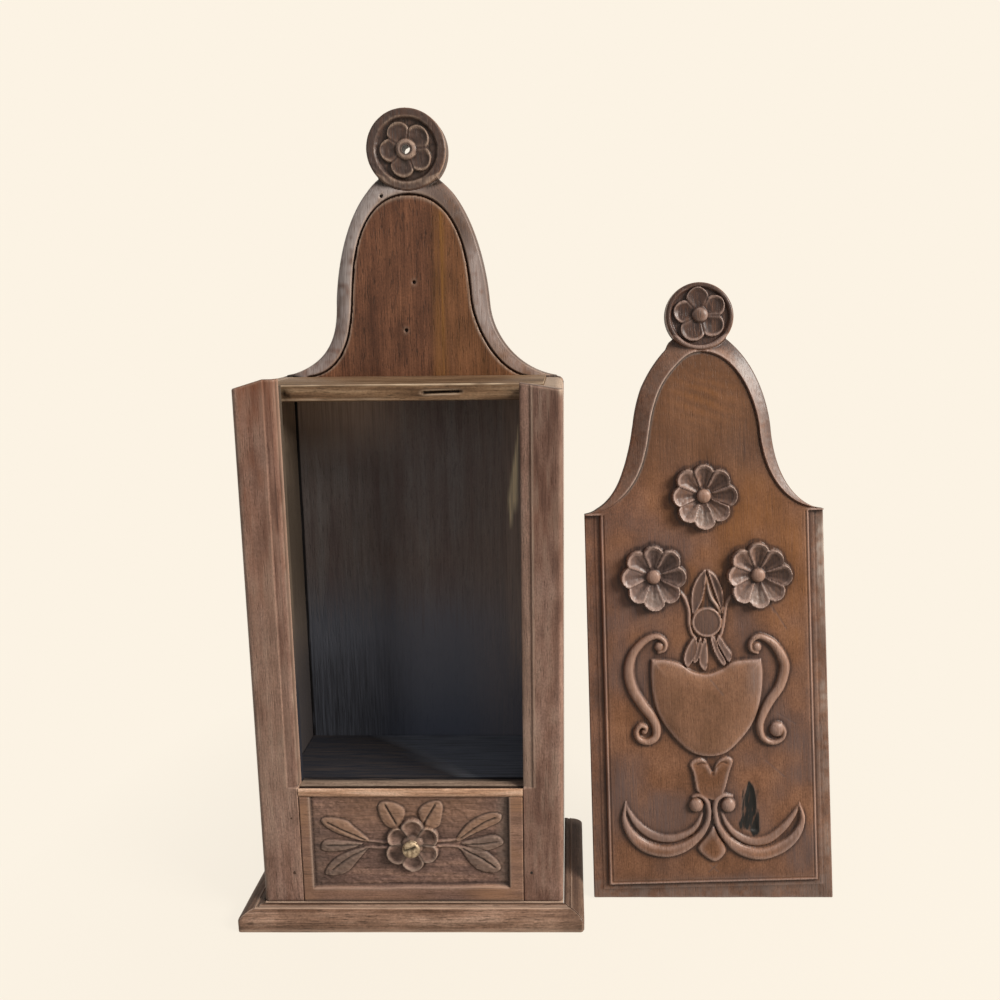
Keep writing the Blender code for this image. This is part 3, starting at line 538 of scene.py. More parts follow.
def carveBand(relief, line, widths, rise, flat=0.5, **layers):
    near = within(relief, line, 8)
    away, share = alongLine(relief["u"][near], relief["v"][near], line)
    half = np.interp(share, np.linspace(0, 1, len(widths)), widths) / 2
    t = np.clip(1 - away / half, 0, 1)
    height = rise * (t * (2 - t)) ** flat * np.clip(half / 2.2, 0.35, 1)
    raiseForm(relief, near, height, **{layer: amount * smoothStep(2 * t) for layer, amount in layers.items()})


def carveBall(relief, x, y, radius, rise, flat=0.5, **layers):
    near = within(relief, [(x, y)], radius + 3)
    away = np.hypot(relief["u"][near] - x, relief["v"][near] - y) / radius
    height = np.where(away < 1, rise * np.clip(1 - away ** 2, 0, 1) ** flat, 0)
    cover = smoothStep(6 * (1 - away))
    raiseForm(relief, near, height, **{layer: amount * cover for layer, amount in layers.items()})


def cutLine(relief, line, width, depth, **layers):
    near = within(relief, line, 4 * width)
    away, share = alongLine(relief["u"][near], relief["v"][near], np.asarray(line, float))
    ends = np.clip(6 * np.sin(math.pi * np.clip(share, 0.02, 0.98)), 0, 1)
    cut = np.exp(-(away / width) ** 2) * ends
    relief["w"][near] -= depth * cut
    stain(relief, near, **{layer: amount * cut for layer, amount in layers.items()})


def carveFlower(relief, flower):
    # petals stand up at their tips and fall to the middle, each one scooped, with a button in the centre
    x, y, radius = flower["at"][0], flower["at"][1], flower["radius"]
    near = within(relief, [(x, y)], radius + 5)
    u, v = relief["u"][near] - x, relief["v"][near] - y
    reach, turn = np.hypot(u, v), np.arctan2(v, u)
    angles = np.radians(flower["angles"])
    sector = 2 * math.pi / len(angles)
    middle = 1 - flower["lobe"]  # the end of a petal is part of a circle, this far out
    # how far each point lies from the middle of its petal, which petal that is, and on which side of it
    swing, number, hand = np.full(u.shape, 9.0), np.zeros(u.shape), np.zeros(u.shape)
    for k, angle in enumerate(angles):
        off = (turn - angle + math.pi) % (2 * math.pi) - math.pi
        ahead = (angles[(k + 1) % len(angles)] - angle) % (2 * math.pi)
        behind = (angle - angles[k - 1]) % (2 * math.pi)
        share = np.abs(off) / np.where(off > 0, ahead, behind) * 2
        nearer = share < swing
        swing = np.where(nearer, share, swing)
        number = np.where(nearer, k, number)
        hand = np.where(nearer, np.sign(off), hand)
    swing = np.clip(swing, 0, 1)
    bend = swing * sector / 2
    lobe = np.sqrt(np.clip(flower["lobe"] ** 2 - (middle * np.sin(bend)) ** 2, 0, None))
    tip = radius * (1 + 0.03 * np.sin(2.3 * number + x)) * (middle * np.cos(bend) + lobe)
    edge = tip - reach
    side = reach * np.sin(sector / 2 * (1 - swing))
    cup = flower["rise"] * (1 - flower["cup"] * (1 - np.clip(reach / radius, 0, 1) ** 1.2))
    scoop = flower["scoop"] * (1 - swing ** 2) * smoothStep(edge / 5) * (1 + 0.25 * np.sin(3.1 * number + y))
    flute = flower["flute"] * np.cos(swing * math.pi * 2.6 + 0.6 * number) * smoothStep(edge / 3)
    lapped = flower["overlap"] * hand * swing ** 2 * smoothStep(edge / 2)
    parting = flower["parting"] * np.exp(-(side / 0.8) ** 2)
    height = (cup - scoop + flute + lapped - parting) * swell(edge, 1.1)
    height += (0.03 + 0.9 * flower["flute"]) * unevenness(61, 1.9)(u, v) * (edge > 1)  # marks of the gouge
    # a painted highlight along the rims of the petals
    rim = flower["rim"] * np.exp(-((edge - 0.9) / 0.7) ** 2)
    stain(relief, near, bleached=rim)
    browner = flower["rimmed"] * smoothStep((edge - 1.2) / 2.5)  # away from the rim
    paleness = flower["pale"] * smoothStep(edge / 1.5) * (1 - browner)
    raiseForm(relief, near, np.clip(height, 0, None) * (edge > 0), pale=paleness)
    # darker in the partings and towards the middle: grime and painted shade
    dirtAndShade = np.exp(-(side / 1.1) ** 2) + 0.55 * smoothStep(1.25 - 1.6 * reach / radius)
    stain(relief, near, dim=np.clip(dirtAndShade, 0, 1) * (edge > 0.8) * flower["dirtAndShade"])
    if flower["button"]:
        away = np.clip(reach / flower["button"], 0, 1)
        dome = (flower["buttonRise"] * (0.2 + 0.8 * np.sqrt(1 - away ** 2))) * (reach < flower["button"])
        raiseForm(relief, near, dome)
        over = smoothStep((flower["button"] - reach) / 1.2)
        relief["pale"][near] *= 1 - over
        relief["dim"][near] *= 1 - over
        stain(relief, near, warm=0.9 * over, dim=0.35 * over)


def carveRosette(relief, rosette):
    # a round with a sunk ground, a flower in it and a boss
    x, y = rosette["at"]
    near = within(relief, [(x, y)], rosette["radius"] + 1)
    u, v = relief["u"][near], relief["v"][near]
    away = np.hypot(u - x, v - y)
    relief["w"][near] -= rosette["depth"] * smoothStep((rosette["sunk"] - away) / 3)
    relief["ground"] = relief["w"].copy()
    carveFlower(relief, {**rosette["flower"], "at": rosette["flowerAt"]})
    stain(relief, near, dim=rosette["dim"] * smoothStep((rosette["radius"] - away) / 1.5))
    over = smoothStep((rosette["flower"]["button"] - away) / 1.2)
    relief["dim"][near] *= 1 - over * (1 - rosette["bossDim"])


def blurred(values, reach):  # box filters, twice each way
    for axis in (0, 1, 0, 1):
        pads = [(reach + 1, reach) if a == axis else (0, 0) for a in (0, 1)]
        total = np.cumsum(np.pad(values, pads, mode="edge"), axis=axis)
        size, width = values.shape[axis], 2 * reach + 1
        after, before = np.take(total, range(width, size + width), axis), np.take(total, range(size), axis)
        values = (after - before) / width
    return values


def solidFrom(name, relief, place, fineReach=3, broadReach=9, rubbed=(0.0, 0.0), dirtAndShade=0.16):
    # the carved front, a flat back of four columns, walls along the edges and through the hole, and two ends
    u, v, w, gap = relief["u"], relief["v"], relief["w"], relief["gap"]
    rows, columns = u.shape
    seam = columns // 2
    shut = gap <= 0
    front = np.arange(rows * columns).reshape(rows, columns)
    front[shut, seam] = front[shut, seam - 1]
    back = rows * columns + np.arange(rows * 4).reshape(rows, 4)
    back[shut, 2] = back[shut, 1]
    backColumns = [0, seam - 1, seam, columns - 1]
    ends = np.stack((u[:, backColumns], v[:, backColumns], np.zeros((rows, 4))), -1)
    points = np.concatenate((np.stack((u, v, w), -1).reshape(-1, 3), ends.reshape(-1, 3)))

    def strip(a, b):
        return np.stack((a[:-1], b[:-1], b[1:], a[1:]), -1)

    faces = [strip(front[:, c], front[:, c + 1]) for c in range(columns - 1) if c != seam - 1]
    faces += [strip(back[:, 1], back[:, 0]), strip(back[:, 3], back[:, 2])]
    faces += [strip(back[:, 0], front[:, 0]), strip(front[:, -1], back[:, 3])]
    pierced = ~(shut[:-1] & shut[1:])
    faces += [strip(front[:, seam - 1], back[:, 1])[pierced], strip(back[:, 2], front[:, seam])[pierced]]
    quads = np.concatenate(faces)
    used = np.unique(quads)
    number = np.full(len(points), -1)
    number[used] = np.arange(len(used))
    polygons = number[quads].tolist()
    for row, flip in ((0, 1), (-1, -1)):
        ring = list(dict.fromkeys([*front[row], back[row, 3], back[row, 1], back[row, 0]]))
        polygons.append(number[ring][::flip].tolist())

    # hollows and ridges are found by comparing the carving with a blurred copy of itself
    fine, broad = w - blurred(w, fineReach), w - blurred(w, broadReach)
    # the hollow layer darkens the hollows and the ground round raised forms: grime and painted shade
    layers = {"hollow": np.clip(-0.7 * fine / 0.5 - dirtAndShade * broad / 1.2, 0, 1),
              "ridge": np.clip(fine / 0.5, 0, 1) ** 1.5}
    for layer in masks:
        if relief[layer].any():
            layers[layer] = relief[layer]
    for i in (0, -1):  # its two edges
        layers["ridge"][:, i] = np.maximum(layers["ridge"][:, i], rubbed[i])
    kept = {}
    for layer, values in layers.items():
        behind = np.zeros((rows, 4))
        if layer == "ridge":
            behind[:, 0], behind[:, 3] = rubbed
        kept[layer] = np.concatenate((values.ravel(), behind.ravel()))[used]
    return meshFrom(name, place(*points[used].T), polygons, kept)


def facing(yBack):  # a board that faces the front, its back in the plane y = yBack
    def place(u, v, w):
        return np.stack((u * mm, yBack - w * mm, v * mm), -1)
    return place


# Base
base = {
    "lip": 0.36, "lipStep": 0.5, "fillet": 8.4, "ovoloSteps": 10, "sections": 24, "soften": 0.7, "uneven": 0.2,
    "lipShape": ((0.36, 0.0), (0.33, 0.1), (0.3, 0.7), (0.22, 0.7), (0.17, 0.1), (0.08, 0.0), (0.05, 0.0),
                 (0.0, 0.0)),  # share of the moulding's width, and millimetres down
    "cornerWear": 3.5, "cornerSteps": 3,
}


def mouldingProfile(thickness):
    points = [(0.0, 0.0), (1.0, 0.0), (1.0, base["fillet"] * 0.5), (1.0, base["fillet"])]
    rise = thickness - base["lipStep"] - base["fillet"]
    for k in range(1, base["ovoloSteps"] + 1):
        angle = math.pi / 2 * k / base["ovoloSteps"]
        points.append((base["lip"] + (1 - base["lip"]) * math.cos(angle),
                       base["fillet"] + rise * math.sin(angle)))
    return points + [(t, thickness - down) for t, down in base["lipShape"]]


def wornCorner(turn, t):  # how far from the mitre a point lies, and how far it is rounded back there
    reach, wearAndSheen = base["cornerWear"] * mm, t ** 2
    along = wearAndSheen * (1 - math.sin(turn)) + (1 - wearAndSheen) * (1 - 4 * turn / math.pi)
    return reach * along, reach * wearAndSheen * (1 - math.cos(turn))


def markLip(mesh, top, along, inner, outer):  # dirt and painted shade, darkest against the box and in the cove of the lip
    def dirtAndShade(point):
        share = (point[along] - inner) / (outer - inner)
        amount = np.interp(share, (0.10, 0.13, 0.17, 0.21, 0.31, 0.34), (1.0, 0.2, 0.2, 0.55, 0.55, 0.0))
        # the right corner is darkened all over with painted shade
        corner = smoothStep((point.x - 0.116) / 0.016) * smoothStep(-point.y / 0.03)
        return max(amount * (point.z > top - 1.1 * mm), 0.5 * corner)

    paintLayer(mesh, "hollow", dirtAndShade)


def makeBase():
    plainBoard("baseBoard", "base_board", "cabinet", mouldedWalnut, "x")
    low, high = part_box("base_moulding_front")
    caseLow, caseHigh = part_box("base_board")
    profile = mouldingProfile(high.z / mm)
    steps, sections = base["cornerSteps"], base["sections"]
    turns = [math.pi / 4 * k / steps for k in range(steps, -1, -1)]
    stops = [(-1, turn) for turn in turns] + [(2 * k / sections - 1, 0) for k in range(1, sections)]
    stops += [(1, turn) for turn in turns[::-1]]
    rings = []
    for side, turn in stops:
        ring = []
        for t, z in profile:
            inset, back = wornCorner(turn, t)
            x = caseHigh.x + t * (high.x - caseHigh.x) - inset
            ring.append((side * x, high.y + t * (low.y - high.y) + back, z * mm))
        rings.append(ring)
    mesh = finishSolid("baseMouldingFront", joinRings(rings), base["soften"], base["uneven"])
    markLip(mesh, high.z, 1, high.y, low.y)
    addPiece(mesh, "cabinet", "base_moulding_front", [mouldedWalnut])
    stops = [(turn, 0) for turn in turns] + [(0, 2 * k / sections) for k in range(1, sections // 2 + 1)]
    for name, node in (("baseMouldingLeft", "base_moulding_left"), ("baseMouldingRight", "base_moulding_right")):
        low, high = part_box(node)
        inner, outer = (low.x, high.x) if high.x > 0 else (high.x, low.x)
        rings = []
        for turn, share in stops:
            ring = []
            for t, z in profile:
                inset, back = wornCorner(turn, t)
                x = inner + t * (outer - inner) - math.copysign(back, outer)
                start = caseLow.y + t * (low.y - caseLow.y) + inset
                ring.append((x, start + (high.y - start) * share, z * mm))
            rings.append(ring)
        mesh = finishSolid(name, joinRings(rings), base["soften"], base["uneven"])
        markLip(mesh, high.z, 0, inner, outer)
        addPiece(mesh, "cabinet", node, [mouldedSideWalnut])


makeBase()
print("base made")

# Case
stile = {
    "slope": 15, "tops": {"left_stile": (17.5, 9.0), "right_stile": (8.5, 2.0)},  # slope, and the level part
    "cornerRound": 4.0, "ovoloWidth": 8.6, "ovoloDepth": {"left_stile": 4.0, "right_stile": 2.2},
    "quirk": 0.7, "stop": 1.6, "nailDimple": 1.7,
}
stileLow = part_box("left_stile")[0]
railLow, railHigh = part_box("front_rail")


def makeStile(name, node, hand):
    low, high = (Vector(p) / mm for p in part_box(node))
    inner, outer = (high.x, low.x) if hand < 0 else (low.x, high.x)
    width, thickness = abs(outer - inner), high.y - low.y
    outerTop = high.z - width * math.tan(math.radians(stile["slope"]))
    sill = railHigh.z / mm
    rows = np.unique(np.round(np.concatenate((
        np.linspace(low.z, low.z + 3, 7), np.arange(low.z + 9, outerTop - 8, 6.0),
        np.linspace(sill - 2, sill + 4, 16), np.linspace(outerTop - 6, outerTop, 13))), 3))
    relief = newRelief(rows, np.full(len(rows), low.x), np.full(len(rows), high.x), 34)
    u, v = relief["u"], relief["v"]
    fromInner, fromOuter, fromTop, fromFoot = np.abs(u - inner), np.abs(u - outer), outerTop - v, v - low.z
    w = thickness - 0.25 + 0.16 * unevenness(3 + hand, 26)(u, v / 3)
    corner = np.clip(1 - fromOuter / stile["cornerRound"], 0, 1)
    w -= stile["cornerRound"] * (1 - np.sqrt(1 - corner ** 2))
    moulded = smoothStep((v - sill) / stile["stop"])
    t = np.clip(1 - fromInner / stile["ovoloWidth"], 0, 1)
    deeper = stile["ovoloDepth"][node] - stile["quirk"]
    ovolo = stile["quirk"] * smoothStep(8 * t) + deeper * (1 - np.sqrt(1 - t ** 2))
    w -= moulded * ovolo + (1 - moulded) * 0.7 * np.clip(1 - fromInner / 0.7, 0, 1) ** 2
    w -= 1.2 * np.clip(1 - fromTop / 1.4, 0, 1) ** 2 + 0.6 * np.clip(1 - fromFoot / 0.8, 0, 1) ** 2
    for which in ("low", "high"):
        nailLow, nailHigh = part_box(node + "_nail_" + which)
        away = np.hypot(u - (nailLow.x + nailHigh.x) / 2 / mm, v - (nailLow.z + nailHigh.z) / 2 / mm)
        w -= 0.3 * smoothStep(1.3 - away / stile["nailDimple"])
    relief["w"] = w

    # wear, dirt and painted shade: the left stile is warm and rubbed, the right one dimmer towards its top
    height = smoothStep(fromFoot / (outerTop - low.z))
    patches = unevenness(14 + hand, 22)(u, v / 2.6) + 0.5 * unevenness(16 + hand, 7)(u, v / 2)
    onOvolo = moulded * smoothStep(stile["ovoloWidth"] - fromInner)
    besideOvolo = fromInner - stile["ovoloWidth"]
    gritty = np.clip(0.6 + unevenness(18 + hand, 5)(u, v), 0, 1)
    topEdge = smoothStep(1.2 - fromTop / 2.5) * gritty
    foot = smoothStep(1.2 - fromFoot / 3)
    if hand < 0:
        wearAndSheen = np.clip(1 - fromInner / 1.6, 0, 1) * np.clip(0.6 + unevenness(18, 9)(u * 0, v), 0, 1)
        outerEdge = smoothStep(1.2 - fromOuter / 6)
        relief["warm"] = np.clip(0.65 + 0.6 * patches, 0, 1) * (0.15 + 0.85 * height ** 2) * (1 - outerEdge)
        dirtLine = 0.9 * np.exp(-((fromInner - 3.4) / 0.9) ** 2) * onOvolo
        toInner = smoothStep(1.3 - fromInner / 22)
        tone = 0.1 * height + 0.25 * (1 - toInner) * smoothStep((90 - v) / 40) + 0.25 * toInner * height ** 3
        relief["dim"] = np.maximum(np.maximum(tone, 0.55 * onOvolo), dirtLine)
        relief["pale"] = np.maximum(0.35 * wearAndSheen * moulded, 0.4 * outerEdge * gritty)
        rubbed = np.maximum(0.2 * np.sin(math.pi * height) ** 2, 0.26 * np.exp(-((v - 145) / 65) ** 2))
        stain(relief, pale=rubbed * (1 - onOvolo))
        stain(relief, pale=0.12 * np.exp(-((besideOvolo - 1.4) / 1.6) ** 2) * moulded)
    else:
        relief["warm"] = np.clip(0.35 + 0.6 * patches, 0, 1) * (0.2 + 0.4 * height) * (1 - onOvolo)
        relief["dim"] = (0.3 + 0.5 * height ** 3) * (1 - 0.8 * onOvolo)
        relief["pale"] = 0.5 * np.exp(-((besideOvolo - 0.9) / 0.8) ** 2) * moulded
        chip = np.exp(-(fromOuter / 3) ** 2) * smoothStep(1.2 - fromTop / 6)
        stain(relief, pale=np.maximum(0.45 * onOvolo * (1 - height), chip))
        stain(relief, dim=0.75 * smoothStep(1.3 - fromTop / 2.5))
        # painted shade in the notch at its inner top corner
        stain(relief, dim=np.clip(1.3 - fromInner / 1.6, 0, 1) * smoothStep(1.2 - fromTop / 9))
    # handled unevenly along the grain
    streaks = unevenness(61 + hand, 3)(u, v / 6) + 0.6 * unevenness(64 + hand, 8)(u, v / 3)
    relief["pale"] = np.clip(relief["pale"] + 0.2 * np.clip(streaks, 0, 1), 0, 1)
    relief["dim"] = np.clip(relief["dim"] + 0.3 * np.clip(-streaks, 0, 1), 0, 1)
    # paler along the top edge; painted shade along the foot, where the stile meets the base
    stain(relief, pale=(0.4 if hand < 0 else 0.1) * topEdge, dim=0.9 * foot)

    def place(u, v, w):
        # the top runs up from the outer edge, and lies level over the moulding
        slope, level = stile["tops"][node]
        climb = np.minimum(np.abs(u - outer), width - level) * math.tan(math.radians(slope))
        return facing(high.y * mm)(u, v + climb * smoothStep((v - outerTop + 60) / 60), w)

    edges = (0.0, 0.9) if hand < 0 else (0.9, 0.0)
    mesh = solidFrom(name, relief, place, 2, 5, edges)
    addPiece(mesh, "cabinet", node, [planedWalnut])


rail = {
    "nose": 0.9, "noseSteps": 12, "sections": 60, "shadedGroove": (0.2, 4.1), "bare": 3.0,  # millimetres behind the nose
    "quirk": ((0.0, 0.0), (0.4, 1.0), (1.2, 1.8), (3.2, 1.8), (3.9, 1.2), (4.3, 0.1), (5.4, 0.0), (7.2, 0.0)),
}


def makeRail():
    height, nose = railHigh.z - railLow.z, rail["nose"] * mm
    section = [(railHigh.y, railLow.z), (railLow.y + nose, railLow.z)]
    for k in range(1, rail["noseSteps"]):  # the nosing, seen from its underside round to its top
        angle = math.pi * k / rail["noseSteps"]
        section.append((railLow.y + nose * (1 - math.sin(angle)),
                        railLow.z + height / 2 * (1 - math.cos(angle))))
    section += [(railLow.y + nose + back * mm, railHigh.z - down * mm) for back, down in rail["quirk"]]
    section.append((railHigh.y, railHigh.z))
    length, sections = railHigh.x - railLow.x, rail["sections"]
    rings = [[(railLow.x + length * k / sections, y, z) for y, z in section] for k in range(sections + 1)]
    mesh = finishSolid("frontRail", joinRings(rings), 0.12, 0.05)
    near, far = rail["shadedGroove"]
    paintLayer(mesh, "damp", lambda point: 0)
    # painted shade in the groove behind the nose
    paintLayer(mesh, "hollow", lambda point: near < (point.y - railLow.y) / mm - rail["nose"] < far)
    addPiece(mesh, "cabinet", "front_rail", [rubbedWalnut, bareWalnut])
    for face in mesh.polygons:
        face.material_index = int(face.center.y > railLow.y + (rail["nose"] + rail["bare"]) * mm)


nail = {
    "sides": 14, "black": "right_stile_nail_low",
    "profile": ((0.75, 15.0), (0.9, 4.0), (1.0, 1.0), (0.95, 0.55), (0.7, 0.35), (0.3, 0.28)),  # width and depth
}


def makeNails():
    for side in ("left", "right"):
        for height in ("low", "high"):
            node = side + "_stile_nail_" + height
            low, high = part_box(node)
            radius = (high.x - low.x) / 2
            rings = []
            for share, depth in nail["profile"]:
                ring = []
                for i in range(nail["sides"]):
                    turn = 2 * math.pi * i / nail["sides"]
                    reach = radius * share * (1 + 0.08 * math.sin(3 * turn + low.x * 90))  # never quite round
                    ring.append(((low.x + high.x) / 2 + reach * math.cos(turn), low.y + depth * mm,
                                 (low.z + high.z) / 2 + reach * math.sin(turn)))
                rings.append(ring)
            mesh = finishSolid(side + height.capitalize() + "Nail", joinRings(rings), 0.05, 0.03)
            finish = blackenedIron if node == nail["black"] else rustedIron
            addPiece(mesh, "cabinet", node, [finish])


topBoard = {"sag": 2.2, "split": ((15, 7.4), (26, 7.0), (45, 6.6)), "splitWidth": 1.0, "splitDepth": 3.0}


def makeTopBoard():
    low, high = (Vector(p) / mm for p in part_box("top_board"))
    rows = np.concatenate((np.linspace(low.z, low.z + 1.5, 6), np.arange(low.z + 2, high.z - 1.6, 0.5),
                           np.linspace(high.z - 1.5, high.z, 8)))
    relief = newRelief(rows, np.full(len(rows), low.x), np.full(len(rows), high.x), 150)
    u, v = relief["u"], relief["v"]
    down, up = high.z - v, v - low.z
    w = high.y - low.y - 0.2 + 0.22 * unevenness(8, 20)(u / 3, v)
    w -= 0.9 * np.clip(1 - down / 1.3, 0, 1) ** 2 + 0.8 * np.clip(1 - up / 1.2, 0, 1) ** 2
    relief["w"] = w
    edgeWear = np.exp(-((down - 0.7) / 0.7) ** 2)
    edgeWear += 0.7 * np.exp(-((up - 1.6) / 0.8) ** 2) * smoothStep(-u / 40)
    broken = np.clip(0.75 + 0.5 * unevenness(9, 12)(u, v * 0), 0, 1)
    relief["pale"] = edgeWear * broken * (v < high.z - 0.1)
    split = [(x, high.z - depth) for x, depth in topBoard["split"]]  # an old split in the front edge
    cutLine(relief, split, topBoard["splitWidth"], topBoard["splitDepth"], dim=1.0)
    # and a bruise near its left end
    bruise = np.exp(-((u + 94.5 + 0.8 * unevenness(10, 2)(u, v)) / 4.2) ** 2 - ((v - high.z + 8) / 4.4) ** 2)
    relief["w"] -= 1.6 * bruise
    stain(relief, dim=0.8 * bruise)

    def place(u, v, w):
        return facing(high.y * mm)(u, v - topBoard["sag"] * (high.x - u) / (high.x - low.x), w)

    mesh = solidFrom("topBoard", relief, place, 2, 5)
    addPiece(mesh, "cabinet", "top_board", [scrubbedWalnut])


sideBoard = {"soften": 0.8, "uneven": 0.15, "topRound": 6.5}


def makeSides():
    boards = [plainBoard(name, node, "cabinet", planedWalnut, "z", sideBoard["soften"],
                         sideBoard["uneven"], (inward, 0, 0), sideBoard["topRound"])
              for name, node, inward in (("leftSide", "left_side", 1), ("rightSide", "right_side", -1))]
    middle = sum(corner.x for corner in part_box("left_side")) / 2

    def paintedLight(point):  # painted light on the inner face of the left side, at its top and faintly at its foot
        high, low = smoothStep((point.z - 0.375) / 0.045), smoothStep((0.27 - point.z) / 0.06)
        return (point.x > middle) * (high + 0.09 * low)

    def paintedShade(point):  # painted shade between them
        below, above = smoothStep((0.375 - point.z) / 0.03), smoothStep((point.z - 0.22) / 0.06)
        return 0.5 * (point.x > middle) * below * above

    paintLayer(boards[0].data, "pale", paintedLight)
    paintLayer(boards[0].data, "dim", paintedShade)


innerBoard = {"soften": 0.5, "uneven": 0.08, "paintedLightCuts": 7}


def makeInnerBoards():
    for name, node, grain, finish in (
            ("leftBatten", "left_batten", "z", grimedWalnut),
            ("rightBatten", "right_batten", "z", grimedWalnut),
            ("bottomBatten", "bottom_batten", "x", bareWalnut),
            ("floorBoard", "floor_board", "x", stainedWalnut),
            ("leftDrawerGuide", "left_drawer_guide", "y", stainedWalnut),
            ("rightDrawerGuide", "right_drawer_guide", "y", stainedWalnut)):
        board = plainBoard(name, node, "cabinet", finish, grain,
                           innerBoard["soften"], innerBoard["uneven"])
        if node == "bottom_batten":  # only its front edge is rubbed clean; behind it, damp stain and painted shade
            low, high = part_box(node)
            paintLayer(board.data, "damp", lambda point: (point.y - low.y) / (high.y - low.y))
        if node == "floor_board":  # painted light at the back on the right, over the part that lies in shadow
            shell = bmesh.new()
            shell.from_mesh(board.data)
            ties = [e for e in shell.edges if abs(e.verts[0].co.y - e.verts[1].co.y) > 30 * mm]
            bmesh.ops.subdivide_edges(shell, edges=ties, cuts=innerBoard["paintedLightCuts"], use_grid_fill=True)
            shell.to_mesh(board.data)
            shell.free()
            paintLayer(board.data, "pale", lambda point: smoothStep((point.x + 1.39 * point.y - 0.006) / 0.03))


makeSides()
makeStile("leftStile", "left_stile", -1)
makeStile("rightStile", "right_stile", 1)
makeRail()
makeNails()
makeTopBoard()
makeInnerBoards()
print("case made")

# Backboard and its crest
crest = {
    "thickness": 14.1, "shoulder": 445.9, "shoulderRound": 6.0, "sideRise": 1.1, "shift": -6.2, "lean": -5.3,
    "waist": 66.2, "waistRise": 60.0, "neck": 25.0, "fall": 0.2, "rosetteRise": 190.0, "rosetteRadius": 33.5,
    "border": 16.7, "fieldFoot": 97.0, "fieldRise": 75.0, "fullness": 0.85, "apexRise": 154.0,
    "quirkWidth": 0.9, "quirkDepth": 2.4, "bandFall": 4.2,
    "hole": 3.6, "wormHoles": ((-28.3, 599.3), (-2.8, 528.0), (-10.7, 487.3)),
    "scuff": ((318, 0.0), (332, 4.4), (352, 3.2), (394, 0.6)),  # height and width of a rubbed streak in the bin
    "rosette": {"sunk": 27.0, "depth": 2.2, "dim": 1.0, "bossDim": 0.1, "flower": {
        "radius": 23.2, "angles": (48, 115, 183, 259, 322), "lobe": 0.44, "rise": 2.6, "cup": 0.3, "scoop": 1.2,
        "flute": 0.0, "parting": 0.8, "overlap": 0.0, "rimmed": 0.0, "rim": 0.15, "button": 9.0,
        "buttonRise": 3.9, "pale": 0.0, "dirtAndShade": 0.9}},
}


def crestEdges(rows, shoulder, foot, look):
    # half width of a board at each height: straight sides, the bell, then the round of the rosette
    neckRise = look["rosetteRise"] - math.sqrt(look["rosetteRadius"] ** 2 - look["neck"] ** 2)
    side = bell(foot, look["waist"], look["waistRise"], look["neck"], neckRise, look["fall"])
    rise = rows - shoulder
    half = np.interp(rise, side[:, 1], side[:, 0], left=foot)
    disc = np.sqrt(np.clip(look["rosetteRadius"] ** 2 - (rise - look["rosetteRise"]) ** 2, 0, None))
    return np.where(rise > neckRise, disc, half)


def rowsOver(shoulder, look, start, step, coarse):
    top, radius = shoulder + look["rosetteRise"], look["rosetteRadius"]
    turn = np.linspace(math.asin(0.8), math.pi / 2 - 0.015, 36)
    return np.unique(np.round(np.concatenate((
        np.arange(start, shoulder - 12, coarse), np.arange(shoulder - 12, shoulder, step),
        np.arange(shoulder, shoulder + 9, 0.3), np.arange(shoulder + 9, top + 0.8 * radius, step),
        top + radius * np.sin(turn))), 3))


